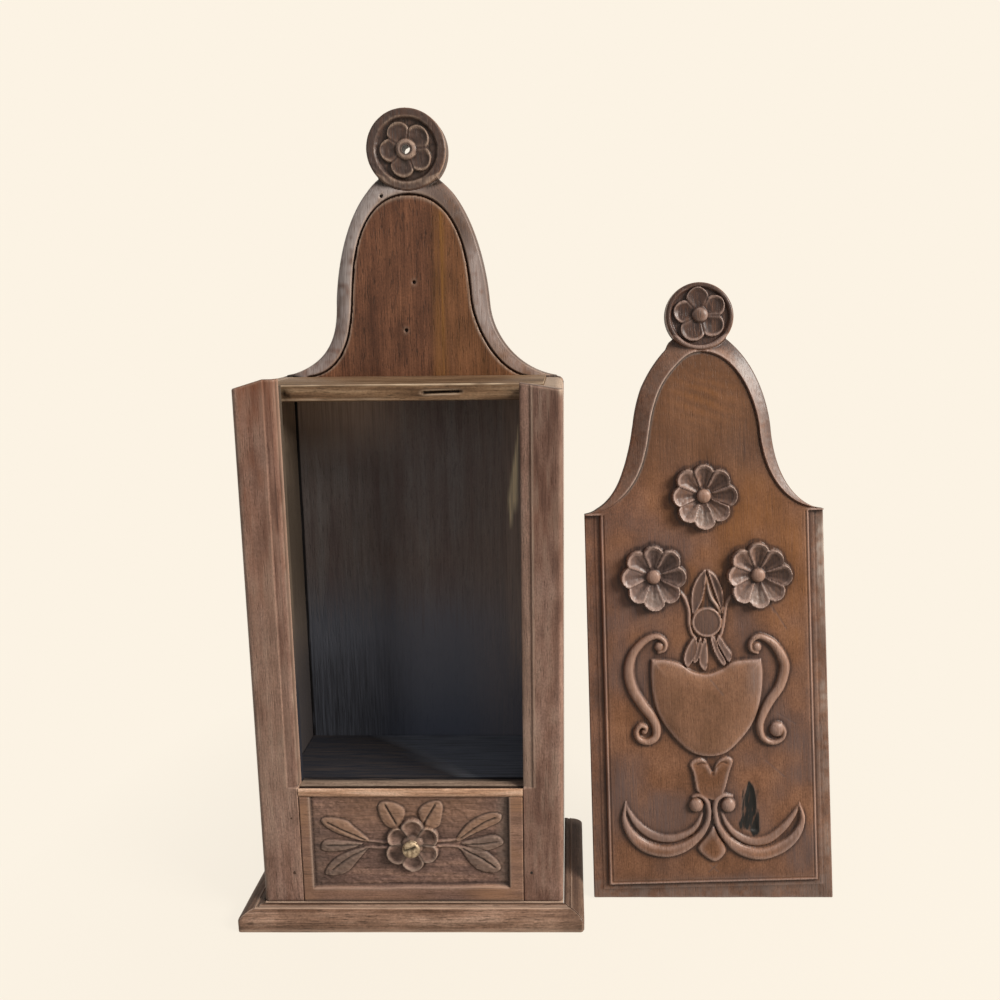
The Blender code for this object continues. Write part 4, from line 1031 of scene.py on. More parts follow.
def makeBackboard():
    low, high = (Vector(p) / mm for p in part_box("backboard"))
    footZ = crest["shoulder"] + crest["sideRise"]
    rows = rowsOver(footZ, crest, low.z, 0.75, 14.0)
    half = crestEdges(rows, footZ, high.x, crest)
    turned = crest["shoulderRound"]  # the two shoulders are rounded off
    over = np.clip(rows - footZ + turned, 0, turned)
    half = np.minimum(half, high.x - turned + np.sqrt(turned ** 2 - over ** 2))
    toRosette = smoothStep((rows - footZ - crest["rosetteRise"] + 35) / 13)
    leaning = crest["lean"] * smoothStep((rows - crest["shoulder"]) / 70)
    shift = leaning * (1 - toRosette) + crest["shift"] * toRosette
    middle = (crest["shift"], footZ + crest["rosetteRise"])
    relief = newRelief(rows, shift - half, shift + half, 130, (*middle, crest["hole"]))
    u, v = relief["u"], relief["v"]
    bare = np.abs(u - shift[:, None])
    w = np.full(u.shape, crest["thickness"]) - 0.25 + 0.2 * unevenness(21, 17)(u, v / 2)

    # a field with a quirk round it, and a border that falls away to the edge
    field = bell(crest["fieldFoot"], crest["waist"] - crest["border"], crest["fieldRise"], 0.0,
                 crest["apexRise"], 0.0, crest["fullness"]) + (0, crest["shoulder"])
    upper = v > crest["shoulder"] - 14
    fromField = np.full(u.shape, 99.0)
    fromField[upper] = alongLine(bare[upper], v[upper], field)[0]
    out = upper & (bare > np.interp(v, field[:, 1], field[:, 0], left=999, right=0))
    groove = np.exp(-((fromField - 0.9) / crest["quirkWidth"]) ** 2) * out
    w -= np.where(upper, crest["quirkDepth"] * groove, 0)
    t = np.clip((fromField - 1.5) / (crest["border"] - 2), 0, 1.3)
    w -= np.where(out, 0.3 + crest["bandFall"] * t ** 2.2, 0)
    w -= np.where(upper, 1.6 * np.clip(1 - relief["edge"] / 1.8, 0, 1) ** 2, 0)
    # the border is painted pale grey as sheen, fading towards its outer edge as painted shade
    wearAndSheen = 1.0 - 0.55 * smoothStep((t - 0.65) / 0.4)
    relief["pale"] = np.where(out, smoothStep((fromField - 1.2) / 1.5) * wearAndSheen, 0)
    gold = np.exp(-((u - 21 - 0.02 * (v - 520)) / 6.5) ** 2) * (0.8 + 0.5 * unevenness(23, 2.4)(u, v / 40))
    gold = np.maximum(gold, 0.35 * smoothStep((u - 15) / 10))
    relief["warm"] = np.where(out, 0, gold) * smoothStep((v - 440) / 10)

    # the rosette
    fromMiddle = np.hypot(u - middle[0], v - middle[1])
    inDisc = crest["rosetteRadius"] - fromMiddle
    disc = smoothStep(inDisc / 0.8 + 0.5)
    flat = crest["thickness"] - 0.3 - 1.4 * np.clip(1 - inDisc / 2, 0, 1) ** 2
    relief["w"] = w * (1 - disc) + disc * flat
    for layer in ("pale", "warm"):
        relief[layer] *= 1 - disc
    carveRosette(relief, {**crest["rosette"], "at": middle, "flowerAt": middle, "radius": crest["rosetteRadius"]})
    for x, z in crest["wormHoles"]:
        near = within(relief, [(x, z)], 4)
        pit = smoothStep((1.7 - np.hypot(u[near] - x, v[near] - z)) / 0.8)
        relief["w"][near] -= 2.5 * pit
        stain(relief, near, dim=pit)

    # in the bin: damp stain and painted shade low down, painted shade in the corners and on the left, painted light
    # near the top and along the right
    inBin = v < crest["shoulder"] - 2
    relief["damp"] = smoothStep((285 - v) / 110)
    stain(relief, dim=smoothStep((np.abs(u) - 107.2) / 1.6) * inBin)
    toLeft, nearTop = smoothStep((5 - u) / 70), smoothStep((v - 362) / 62)
    toSide = 0.22 * smoothStep((u - 25) / 50) + 0.35 * smoothStep((u - 68) / 12) * smoothStep((v - 150) / 60)
    toSide += 0.12 * (1 - toLeft) * np.exp(-((v - 255) / 60) ** 2)
    paintedShade = toLeft * (0.3 * (1 - nearTop) + 0.2 * smoothStep((215 - v) / 60))
    stain(relief, pale=np.maximum(toLeft * nearTop, toSide) * inBin, dim=paintedShade * inBin)

    # the border's painted sheen is brightest on the left; on the right it is brownest high up, and darkened along its
    # outer edge with painted shade
    border = relief["pale"] * (v > crest["shoulder"])
    toRight = smoothStep((u + 20) / 40)
    relief["bleached"] = border * (1 - toRight) * smoothStep((v - crest["shoulder"] - 15) / 60)
    browned = np.maximum(0.7 * smoothStep((v - 548) / 22), 0.65 * smoothStep((500 - v) / 30)) * border * toRight
    stain(relief, warm=browned)
    relief["pale"] *= 1 - 0.6 * browned
    patches = np.clip(0.05 - 0.6 * unevenness(26, 5)(u, v) - 0.4 * unevenness(27, 14)(u, v), 0, 0.8)
    for layer in ("pale", "bleached"):
        relief[layer] *= 1 - border * patches
    stain(relief, dim=border * toRight * (0.12 + 0.7 * smoothStep((v - 542) / 25)))
    # painted shade along the outer edge of the border on the right
    stain(relief, dim=0.95 * smoothStep((t - 0.4) / 0.5) * border * toRight)

    # the rubbed streak down the right of the bin
    heights, widths = zip(*crest["scuff"])
    width = np.maximum(np.interp(v, heights, widths), 0.2)
    streak = np.exp(-((u - 78 - 0.09 * (v - 323)) / width) ** 4)
    stain(relief, bleached=streak * ((v > heights[0]) & (v < heights[-1])))

    # the boss is rubbed, with dirt round its hole
    boss = smoothStep((crest["rosette"]["flower"]["button"] - fromMiddle) / 1.2)
    stain(relief, pale=0.6 * boss, dim=smoothStep((crest["hole"] + 2.4 - fromMiddle) / 1.5))
    relief["w"] -= 0.9 * smoothStep((crest["hole"] + 2.6 - fromMiddle) / 2.2)
    relief["w"] += disc * 0.16 * unevenness(24, 2.4)(u, v)
    mesh = solidFrom("crestedBackboard", relief, facing(high.y * mm))
    addPiece(mesh, "cabinet", "backboard", [smokedWalnut, sootedWalnut])
    for face in mesh.polygons:  # the wall of the flour compartment
        face.material_index = int(face.normal.y < -0.5 and face.center.z < crest["shoulder"] * mm - 0.003)


makeBackboard()
print("backboard made")

# Drawer
drawer = {
    "ends": (-83.6, 80.6), "foot": 12.5, "depth": 3.0, "middle": (0.0, 51.5),
    "flower": {"radius": 23.6, "angles": (30, 90, 150, 210, 270, 330), "lobe": 0.41, "rise": 3.8, "cup": 0.35,
               "scoop": 2.2, "flute": 0.0, "parting": 0.7, "overlap": 0.3, "rimmed": 0.8, "rim": 0.0, "button": 0.0,
               "buttonRise": 0.0, "pale": 0.9, "dirtAndShade": 0.9},
    "leaves": (  # outline and vein of each leaf
        (((-5.4, 81.8), (-13, 89), (-23.4, 90.5), (-27.8, 86.9), (-27.2, 79), (-21.7, 68.1), (-11, 66)),
         ((-22, 88), (-16.7, 77.5), (-13, 70))),
        (((5.1, 81.1), (11.9, 89), (21.8, 91.3), (25.8, 86.9), (25, 77.5), (21.8, 67.4), (11, 66)),
         ((20, 89), (12.1, 75.3), (9, 69))),
        (((-36, 55.6), (-48, 67.4), (-55.6, 73.9), (-70, 76.1), (-75.6, 73.4), (-72, 67.6), (-63, 61.6), (-50, 56.6),
          (-40, 54)), ((-71, 72), (-57.4, 64.5), (-38, 55))),
        (((-42.1, 52.6), (-61.7, 55.4), (-73, 55), (-76.6, 49.6), (-74.1, 45.2), (-63.6, 44.7), (-48.8, 48.4)),
         ((-72, 50.5), (-58, 50.8), (-42, 50.8))),
        (((-35.6, 49.1), (-48.9, 46.9), (-63.8, 39.6), (-72.2, 30.7), (-73.8, 23.6), (-63.3, 22.6), (-53.8, 27),
          (-46, 36.6), (-38, 46.3)), ((-69, 27), (-54, 39), (-38, 47.8))),
        (((36, 57), (44.2, 68.8), (54.9, 76.8), (66.7, 80.4), (74.2, 78.2), (71.9, 71.7), (61.2, 65.9), (49.3, 60.1),
          (38.6, 54.2)), ((70, 76.6), (57.4, 70.5), (38, 56))),
        (((40, 52.8), (53.2, 57.2), (67.7, 60.1), (75.2, 55), (72.9, 49.9), (60.9, 45.5), (47.7, 48.4)),
         ((71, 54), (58, 52.2), (42, 51))),
        (((36.5, 49.5), (54.3, 48.4), (62.2, 44), (70, 36.6), (73, 29.2), (67.2, 25), (55.3, 27), (47.4, 33.7),
          (40, 45.5)), ((69, 30), (57.5, 38.5), (40, 48.2))),
    ),
    "stems": (((-20, 53.5), (-30, 54), (-40, 54.8)), ((-20, 49), (-30, 48.6), (-40, 48.4)),
              ((20, 54.4), (30, 55), (40, 56.4)), ((20, 50.2), (30, 50), (40, 48.8))),
    "stemWidths": (3.2, 2.6, 2.2),
}


def makeDrawerFront():
    low, high = (Vector(p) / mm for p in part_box("drawer_front"))
    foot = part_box("base_board")[1].z / mm
    rows = np.unique(np.round(np.concatenate((
        np.linspace(low.z, low.z + 1.5, 6), np.arange(low.z + 2, high.z - 1.6, 0.55),
        np.linspace(high.z - 1.5, high.z, 6))), 3)) - foot
    relief = newRelief(rows, np.full(len(rows), low.x), np.full(len(rows), high.x), 170)
    u, v = relief["u"], relief["v"]
    w = high.y - low.y - 0.2 + 0.16 * unevenness(5, 15)(u / 2.5, v)
    w -= 0.6 * np.clip(1 - np.minimum(relief["edge"], v - rows[0]) / 0.9, 0, 1) ** 2
    inEnds = np.minimum(u - drawer["ends"][0], drawer["ends"][1] - u)
    inFoot = v - drawer["foot"] + 0.9 * unevenness(12, 30)(u, v * 0)
    sunk = np.minimum(smoothStep(inEnds / 1.1), smoothStep(inFoot / 2.6))
    w -= drawer["depth"] * sunk
    w += sunk * (0.22 * unevenness(51, 4.2)(u, 1.6 * v) + 0.12 * unevenness(52, 1.7)(u, v))  # left by the gouge
    relief["w"], relief["ground"] = w, w.copy()
    toEnds = np.clip(1.15 - inEnds / 20, 0, 1) * np.where(u < 0, 1, 0.2)
    relief["dim"] = 0.55 * sunk * toEnds * smoothStep((84 - v) / 30 + 0.3)
    # painted shade on the walls of the sunk ground and along the drawer's lower edge
    wall = np.exp(-((inEnds - 0.5) / 0.9) ** 2) * smoothStep(inFoot / 2)
    stain(relief, dim=0.9 * np.maximum(wall, smoothStep(1.2 - (v - rows[0]) / 3)))
    relief["warm"] = (1 - sunk) * np.clip(0.6 + 0.6 * unevenness(26, 11)(u / 3, v), 0, 1)
    stain(relief, warm=0.5 * sunk * smoothStep((v - 52) / 30) * smoothStep(inEnds / 40))
    # painted light at the right end of the sunk ground, where the wall's shadow falls
    relief["pale"] = sunk * np.clip(1.4 - (drawer["ends"][1] - u) / 9, 0, 1)
    for line in drawer["stems"]:
        carveBand(relief, curveThrough(line), drawer["stemWidths"], 1.8)
    for outline, vein in drawer["leaves"]:
        isUpper = max(z for x, z in outline) > 70  # the upper leaves are the browner ones
        tones = {"pale": 0.25, "warm": 0.95, "dim": 0.0} if isUpper else {"pale": 0.5, "warm": 0.1, "dim": 0.35}
        carveShape(relief, curveThrough(outline, closed=True), 0.8, 0.7, 0.7, 5, **tones)
    for outline, vein in drawer["leaves"]:
        cutLine(relief, curveThrough(outline, closed=True), 0.6, 0.3, dim=0.5)
        cutLine(relief, curveThrough(vein), 0.8, 1.0, dim=0.9)
    carveFlower(relief, {**drawer["flower"], "at": drawer["middle"]})
    carveBall(relief, *drawer["middle"], 9.2, 3.4, 0.3)

    def place(u, v, w):
        return facing(high.y * mm)(u, v + foot, w)

    mesh = solidFrom("drawerFront", relief, place)
    addPiece(mesh, "drawer", "drawer_front", [gougedWalnut])


knob = {"spread": 1.12, "seat": 6.8, "sides": 40,
        "slitWidth": 1.2, "slitDepth": 1.1, "slitHeight": 2.2, "slitSlope": 0.35}


def makeKnob():
    low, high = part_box("drawer_knob")
    middle, radius = (low + high) / 2, knob["spread"] * (high.x - low.x) / 2
    face, seat, sides = low.y, low.y + knob["seat"] * mm, knob["sides"]
    profile = ((0.38, high.y), (0.38, seat), (0.72, seat), (0.62, seat - 1.4 * mm), (0.7, seat - 2.4 * mm),
               (0.93, seat - 3.1 * mm), (1.0, seat - 3.9 * mm), (0.97, seat - 4.8 * mm), (0.86, face + 1.1 * mm),
               (0.68, face + 0.45 * mm), (0.5, face + 0.2 * mm), (0.34, face + 0.08 * mm), (0.2, face),
               (0.07, face))
    points, hollow = [], []
    for share, y in profile:
        for i in range(sides):
            turn = 2 * math.pi * i / sides
            x, z = radius * share * math.cos(turn), radius * share * math.sin(turn)
            onFace = math.hypot(x, z) < 0.8 * radius and y < face + mm
            across = (z - knob["slitSlope"] * x - knob["slitHeight"] * mm) / (knob["slitWidth"] * mm)
            slit = math.exp(-across ** 2) * onFace  # a slit across the face
            points.append((middle.x + x, y + knob["slitDepth"] * mm * slit, middle.z + z))
            hollow.append(slit)
    faces = []
    for k in range(len(profile) - 1):
        for i in range(sides):
            j = (i + 1) % sides
            faces.append((k * sides + i, k * sides + j, (k + 1) * sides + j, (k + 1) * sides + i))
    faces += [tuple(range(sides)), tuple((len(profile) - 1) * sides + i for i in range(sides))]
    mesh = meshFrom("drawerKnob", points, faces, {"hollow": hollow}, 50)
    addPiece(mesh, "drawer", "drawer_knob", [castBrass])


def makeDrawerBox():
    for name, node, grain in (("drawerLeftSide", "drawer_left_side", "y"),
                              ("drawerRightSide", "drawer_right_side", "y"),
                              ("drawerBack", "drawer_back", "x"), ("drawerBottom", "drawer_bottom", "x")):
        board = plainBoard(name, node, "drawer", stainedWalnut, grain,
                           innerBoard["soften"], innerBoard["uneven"])
        paintLayer(board.data, "damp", lambda point: 0)  # it never held damp flour


makeDrawerFront()
makeKnob()
makeDrawerBox()
print("drawer made")

# Lid
lid = {
    "tongue": 103.4, "tongueThickness": 5.0, "step": 0.45, "field": 8.0, "fieldHalf": 89.2, "fieldFoot": 15.6,
    "shoulder": 335.2, "waist": 60.0, "waistRise": 69.5, "neck": 22.7, "fall": 0.245,
    "rosetteRise": 168.7, "rosetteRadius": 29.4, "border": 11.5, "leftBorder": 2.9, "crestFoot": 96.5,
    "apexRise": 136.5, "ridge": 2.0, "bandFall": 4.4, "gap": 9.2, "setback": 25.0, "tilt": 1.5, "ornamentShift": -1.4,
    "leftLean": ((0, 0), (4, 2.4), (36, 3.0), (50, 2.4), (76, 0), (108, 0), (124, -1.4), (141, -3), (147, 0)),
    "rosette": {"sunk": 26.5, "depth": 2.6, "dim": 1.0, "bossDim": 1.0, "flower": {
        "radius": 24.0, "angles": (33, 94, 168, 242, 320), "lobe": 0.43, "rise": 3.0, "cup": 0.35, "scoop": 1.5,
        "flute": 0.0, "parting": 0.8, "overlap": 0.0, "rimmed": 0.0, "rim": 0.1, "button": 7.0,
        "buttonRise": 4.8, "pale": 0.0, "dirtAndShade": 0.9}},
    "flower": {"radius": 28.2, "angles": (0, 45, 90, 135, 180, 225, 270, 315), "lobe": 0.35, "rise": 7.6, "cup": 1.0,
               "scoop": 1.9, "flute": 0.16, "parting": 0.7, "overlap": 0.55, "rimmed": 0.15, "rim": 0.45,
               "button": 6.2, "buttonRise": 4.4, "pale": 1.0, "dirtAndShade": 0.35},
    "flowers": ((0.9, 348.8), (-44.0, 280.3), (46.0, 279.6)),
    "stems": (((-23, 268), (-17.4, 260.5), (-14.4, 250), (-14.4, 240), (-12.4, 231), (-9, 226)),
              ((23, 264), (18.1, 255.5), (15.9, 245.5), (14.6, 237), (12.4, 229), (9, 224))),
    "stemWidths": (3.0, 3.4, 3.6, 3.6, 3.2, 2.4),
    "bud": (((-11, 247), (-12.6, 258), (-11, 270), (-5.5, 280.5), (0.6, 285.5), (1, 276), (-0.8, 265), (-4.4, 255)),
            ((14.4, 247), (16, 258), (14.4, 270), (9.4, 280), (2.2, 285.5), (4.4, 277), (8.4, 264), (11.4, 255))),
    "budHeart": ((1.2, 282), (4.4, 274), (8, 262), (9, 252), (4, 250), (-3, 251), (-2, 262), (0.4, 273)),
    "budLine": ((1.4, 280), (3.0, 268), (5.4, 260.5), (9.6, 254.4), (12.6, 248)),
    "budLineWidths": (1.6, 3.0, 3.8, 3.6, 2.4),
    "ball": (0.6, 240.3, 13.0),
    "fan": (((-9.8, 229), (-17.5, 219), (-20.3, 209), (-17.4, 201.8), (-12.4, 206.5), (-7.5, 217)),
            ((-5.8, 228), (-10, 214), (-12, 206), (-7.6, 207.5), (-3.6, 221)),
            ((-2.8, 226), (-7.4, 207), (-2, 198), (0.8, 206), (0.4, 223)),
            ((2.8, 229), (6.2, 214), (13.4, 202.4), (16.4, 206), (11, 217), (7.5, 227)),
            ((11, 229), (17, 219.5), (21.8, 212), (18.6, 205), (13.6, 213), (8.5, 224))),
    "urnRim": ((-48.2, 210), (-35, 209), (-23, 205.6), (-12.5, 198.6), (0, 196.2), (12.5, 200.2), (21, 205.8),
               (33, 207.4), (46.8, 207.6)),
    "urnBowl": ((46.8, 207.6), (48, 195), (46, 175), (41, 158), (32, 143.5), (16, 128), (1, 124.2), (-15, 128),
                (-29.5, 141), (-42, 159), (-47.3, 176), (-48.9, 195), (-48.2, 210)),
    "handles": (((-41, 215.5), (-36.5, 217.5), (-35.4, 223), (-39, 227.6), (-45, 229), (-54, 225), (-63.5, 214.5),
                 (-67.3, 200), (-64.4, 184.5), (-56.3, 170.3), (-48.4, 159.5), (-45, 150.5), (-46.2, 142.4),
                 (-53, 138.6), (-60, 141.2), (-62.3, 147.6), (-58.6, 152.6), (-54, 151), (-54.4, 147.4)),
                ((43.5, 213), (38.6, 215.5), (37.6, 221), (41.4, 225.8), (48, 226.4), (57.4, 220.4), (64.6, 209),
                 (66.6, 198.7), (62, 183.7), (53, 171), (46.4, 158.8), (44, 149), (46.6, 139.6), (54, 135.4),
                 (62, 138), (65, 144.5), (62, 151))),
    "handleWidths": (3.4, 4.2, 4.6, 5.0, 5.8, 7.4, 9.0, 9.6, 9.2, 8.8, 8.2, 7.2, 5.8, 5.0, 4.6, 4.4, 3.6),
    "balls": ((-40.5, 220.2, 4.4, 3.6), (42.8, 218, 4.6, 3.8), (-55.6, 147.4, 2.6, 3.0), (58.8, 146.6, 6.8, 4.6),
              (-12.3, 83.3, 6.4, 4.6), (15.2, 82.6, 6.5, 4.6)),
    "tulip": ((2.4, 111.5), (-2, 119.4), (-9, 123.4), (-16.9, 119), (-14.4, 110), (-13.2, 102), (-10.8, 94),
              (2.3, 86.5), (11, 92.5), (14.4, 101), (17.2, 111), (20.2, 120.6), (12.9, 124), (6, 119)),
    "tulipLips": (((2.4, 108), (0.6, 115), (-5, 119), (-12, 117.5)),
                  ((2.6, 108), (5.4, 115), (10.5, 119.4), (15.6, 118))),
    "sprays": (((-15, 90.2), (-9.4, 91.2), (-3.4, 86.6), (-1.6, 76.5), (-4, 66), (-12, 55.4), (-25, 46.8), (-40, 43.8),
                (-56, 47.8), (-68, 57.8), (-74.4, 72), (-73, 87)),
               ((18.6, 89.6), (10.8, 90.8), (4.6, 85.8), (3.6, 76.5), (6.6, 64), (14.6, 51.8), (27, 42.8), (43, 39.6),
                (60, 44.8), (72.4, 54.8), (78.8, 68.5), (76.6, 82))),
    "sprayWidths": (2.6, 3.8, 4.4, 4.6, 5.0, 7.0, 9.4, 10.4, 10.0, 8.0, 4.8, 1.2),
    "innerSprays": (((-7.4, 75), (-12, 65.8), (-20, 58.6), (-34, 54.4), (-49, 56.8), (-62, 66), (-70.4, 78.5),
                     (-72.6, 86)),
                    ((9.4, 75.5), (13.6, 65.8), (21.6, 56.2), (34, 50.2), (48.5, 51.6), (62.4, 61.8), (72.4, 74),
                     (76, 81))),
    "innerWidths": (2.4, 4.2, 5.8, 7.0, 7.4, 6.4, 4.0, 1.2),
    "footBud": ((2, 65), (-4, 57), (-11.9, 47.4), (-8.4, 40.3), (2.4, 33.6), (10.8, 39.6), (12, 46.4), (6, 57)),
    "scar": ((33.8, 100), (29, 90.5), (27.7, 74), (25, 63.7), (34, 58), (41.6, 59.2), (40, 75.4), (39, 93)),
    "scratches": (((58, 252), (70, 232)), ((52, 262), (60, 246)), ((2, 192), (13, 178)), ((60, 160), (76, 150)),
                  ((-2, 31), (6, 24)), ((-3, 24), (5, 31)), ((48, 120), (66, 104))),
}


def carveLidBoard(relief):
    u, v = relief["u"], relief["v"]
    across = np.abs(u)
    # two steps down from the field to the tongue at the sides and the foot
    inField = np.minimum(lid["fieldHalf"] - across, v - lid["fieldFoot"])
    lowField = v < lid["shoulder"] + 6
    w = np.full(u.shape, lid["tongueThickness"])
    w += lid["step"] * smoothStep((inField + 6.2) / 0.9)
    w += (lid["field"] - lid["tongueThickness"] - lid["step"]) * smoothStep((inField + 1.6) / 1.8)
    w -= 0.7 * np.exp(-((inField - 1.9) / 0.6) ** 2) * lowField
    # the crest's border is a bevel that falls outward from a ridge beside the field
    field = bell(lid["crestFoot"], lid["waist"] - lid["border"], lid["waistRise"], 0.0, lid["apexRise"], 0.0)
    field += (0, lid["shoulder"] + 1.2)
    upper = v > lid["shoulder"] - 1
    lean = np.interp(v - lid["shoulder"], *zip(*lid["leftLean"]))
    fuller = lid["leftBorder"] * smoothStep((v - lid["shoulder"]) / 40) - 0.7 * lean
    beside = across + smoothStep(-u / 25) * fuller
    fromField = np.full(u.shape, 99.0)
    fromField[upper] = alongLine(beside[upper], v[upper], field)[0]
    out = upper & (beside > np.interp(v, field[:, 1], field[:, 0], left=999, right=0))
    t = np.clip(fromField / lid["border"], 0, 1.4)
    fade = np.where(u < 0, smoothStep((v - lid["shoulder"] - 4) / 22), 1)  # worn away at the left shoulder
    bevel = lid["field"] + lid["ridge"] * fade * smoothStep(fromField / 0.9) - lid["bandFall"] * t ** 1.15
    w = np.where(upper, np.where(out, bevel, lid["field"] - 0.5 * np.exp(-(fromField / 1.1) ** 2)), w)
    w -= np.where(upper, 1.3 * np.clip(1 - relief["edge"] / 1.6, 0, 1) ** 2, 0)
    w -= np.where(~upper, 0.8 * np.clip(1 - relief["edge"] / 1.0, 0, 1) ** 2, 0)
    w -= 0.8 * np.clip(1 - (v - v.min()) / 1.0, 0, 1) ** 2

    # paler on the border and along the tongue, most of all at its right edge: partly wear, partly painted sheen
    bare = smoothStep((-inField - 1.5) / 2) * lowField
    onBorder, atFoot = np.where(out, smoothStep(fromField / 2), 0), v < 18
    relief["pale"] = np.maximum(onBorder * np.where(u > 0, 0.6, 0.1), bare * np.where(atFoot, 0.5, 0.3))
    wearAndSheen = np.clip(0.6 + 0.7 * unevenness(36, 24)(u * 0, v), 0, 1)
    rim = smoothStep((-inField - 6.6) / 1.6) * lowField * (u > 60)
    rim *= 0.3 + 0.6 * smoothStep((v - 150) / 60)
    relief["bleached"] = np.maximum(onBorder * np.where(u > 0, 0.3 * (1 - smoothStep(t)), 0), rim) * wearAndSheen
    stain(relief, bleached=0.13 * np.maximum(onBorder * (u < 0), bare * (atFoot | (u > 60))))
    blotches = np.clip(0.85 + 0.6 * unevenness(38, 4)(u, v) + 0.4 * unevenness(39, 12)(u, v), 0.25, 1.3)
    for layer in ("pale", "bleached"):
        relief[layer] = np.clip(relief[layer] * blotches, 0, 1)
    ridgeLine = np.where(upper & (u < 0), np.exp(-((fromField - 0.6) / 0.9) ** 2), 0)  # a painted highlight along the ridge on the left
    stain(relief, bleached=0.7 * ridgeLine * fade)
    borderDirt = np.where(out, np.where(u > 0, 0.8 * smoothStep(t - 0.1), 0.05), 0)

    # the rosette stands a little proud of the border
    x, y = 0.3, lid["shoulder"] + lid["rosetteRise"]
    inDisc = lid["rosetteRadius"] - np.hypot(u - x, v - y)
    disc = smoothStep(inDisc / 0.8 + 0.6)
    top = lid["field"] + 1.8 - 1.6 * np.clip(1 - inDisc / 2.2, 0, 1) ** 2
    w = w * (1 - disc) + top * disc
    for layer in ("pale", "bleached"):
        relief[layer] *= 1 - disc
    relief["w"] = w + 0.13 * unevenness(31, 13)(u, v / 1.6) + 0.05 * unevenness(32, 2.7)(u, v)

    # warm and cool patches on the field, and the crest is the brownest
    patches = unevenness(34, 38)(u, v) + 0.5 * unevenness(35, 15)(u, v)
    warmth = np.clip(0.3 + 0.75 * patches, 0, 1) * (0.3 + 0.7 * smoothStep((v - 120) / 160))
    warmth = np.maximum(warmth, 0.9 * smoothStep((v - 350) / 60))
    relief["warm"] = warmth * ~out * (inField > 0) * (1 - disc)
    relief["cool"] = np.clip(0.3 - 0.9 * patches, 0, 1) * (inField > 0)
    relief["cool"] *= smoothStep((lid["shoulder"] + 25 - v) / 60)
    rub = 0.5 + 0.5 * unevenness(33, 19)(u, v)
    relief["dim"] = np.where(lowField & ~out, 0.45 * rub * (1 - smoothStep((inField - 1) / 16)), 0)
    stain(relief, dim=borderDirt * (1 - disc))
    # curly grain shines in the middle of the crest
    gold = np.exp(-((u - 2) / 32) ** 2 - ((v - lid["shoulder"] - 98) / 23) ** 2)
    curl = 0.5 + 0.5 * np.sin((v + 0.3 * u) / 1.5 + 3 * unevenness(37, 20)(u, v))
    shade = np.exp(-((u - 36) / 14) ** 2 - ((v - 388) / 24) ** 2)
    crestTone = smoothStep((v - 335) / 60) * (0.58 - 0.5 * gold + 0.34 * gold * curl + 0.2 * shade)
    stain(relief, dim=np.where(out, 0, crestTone))
    carveRosette(relief, {**lid["rosette"], "at": (x, y), "flowerAt": (x, y + 1), "radius": lid["rosetteRadius"]})
    relief["ground"] = relief["w"].copy()


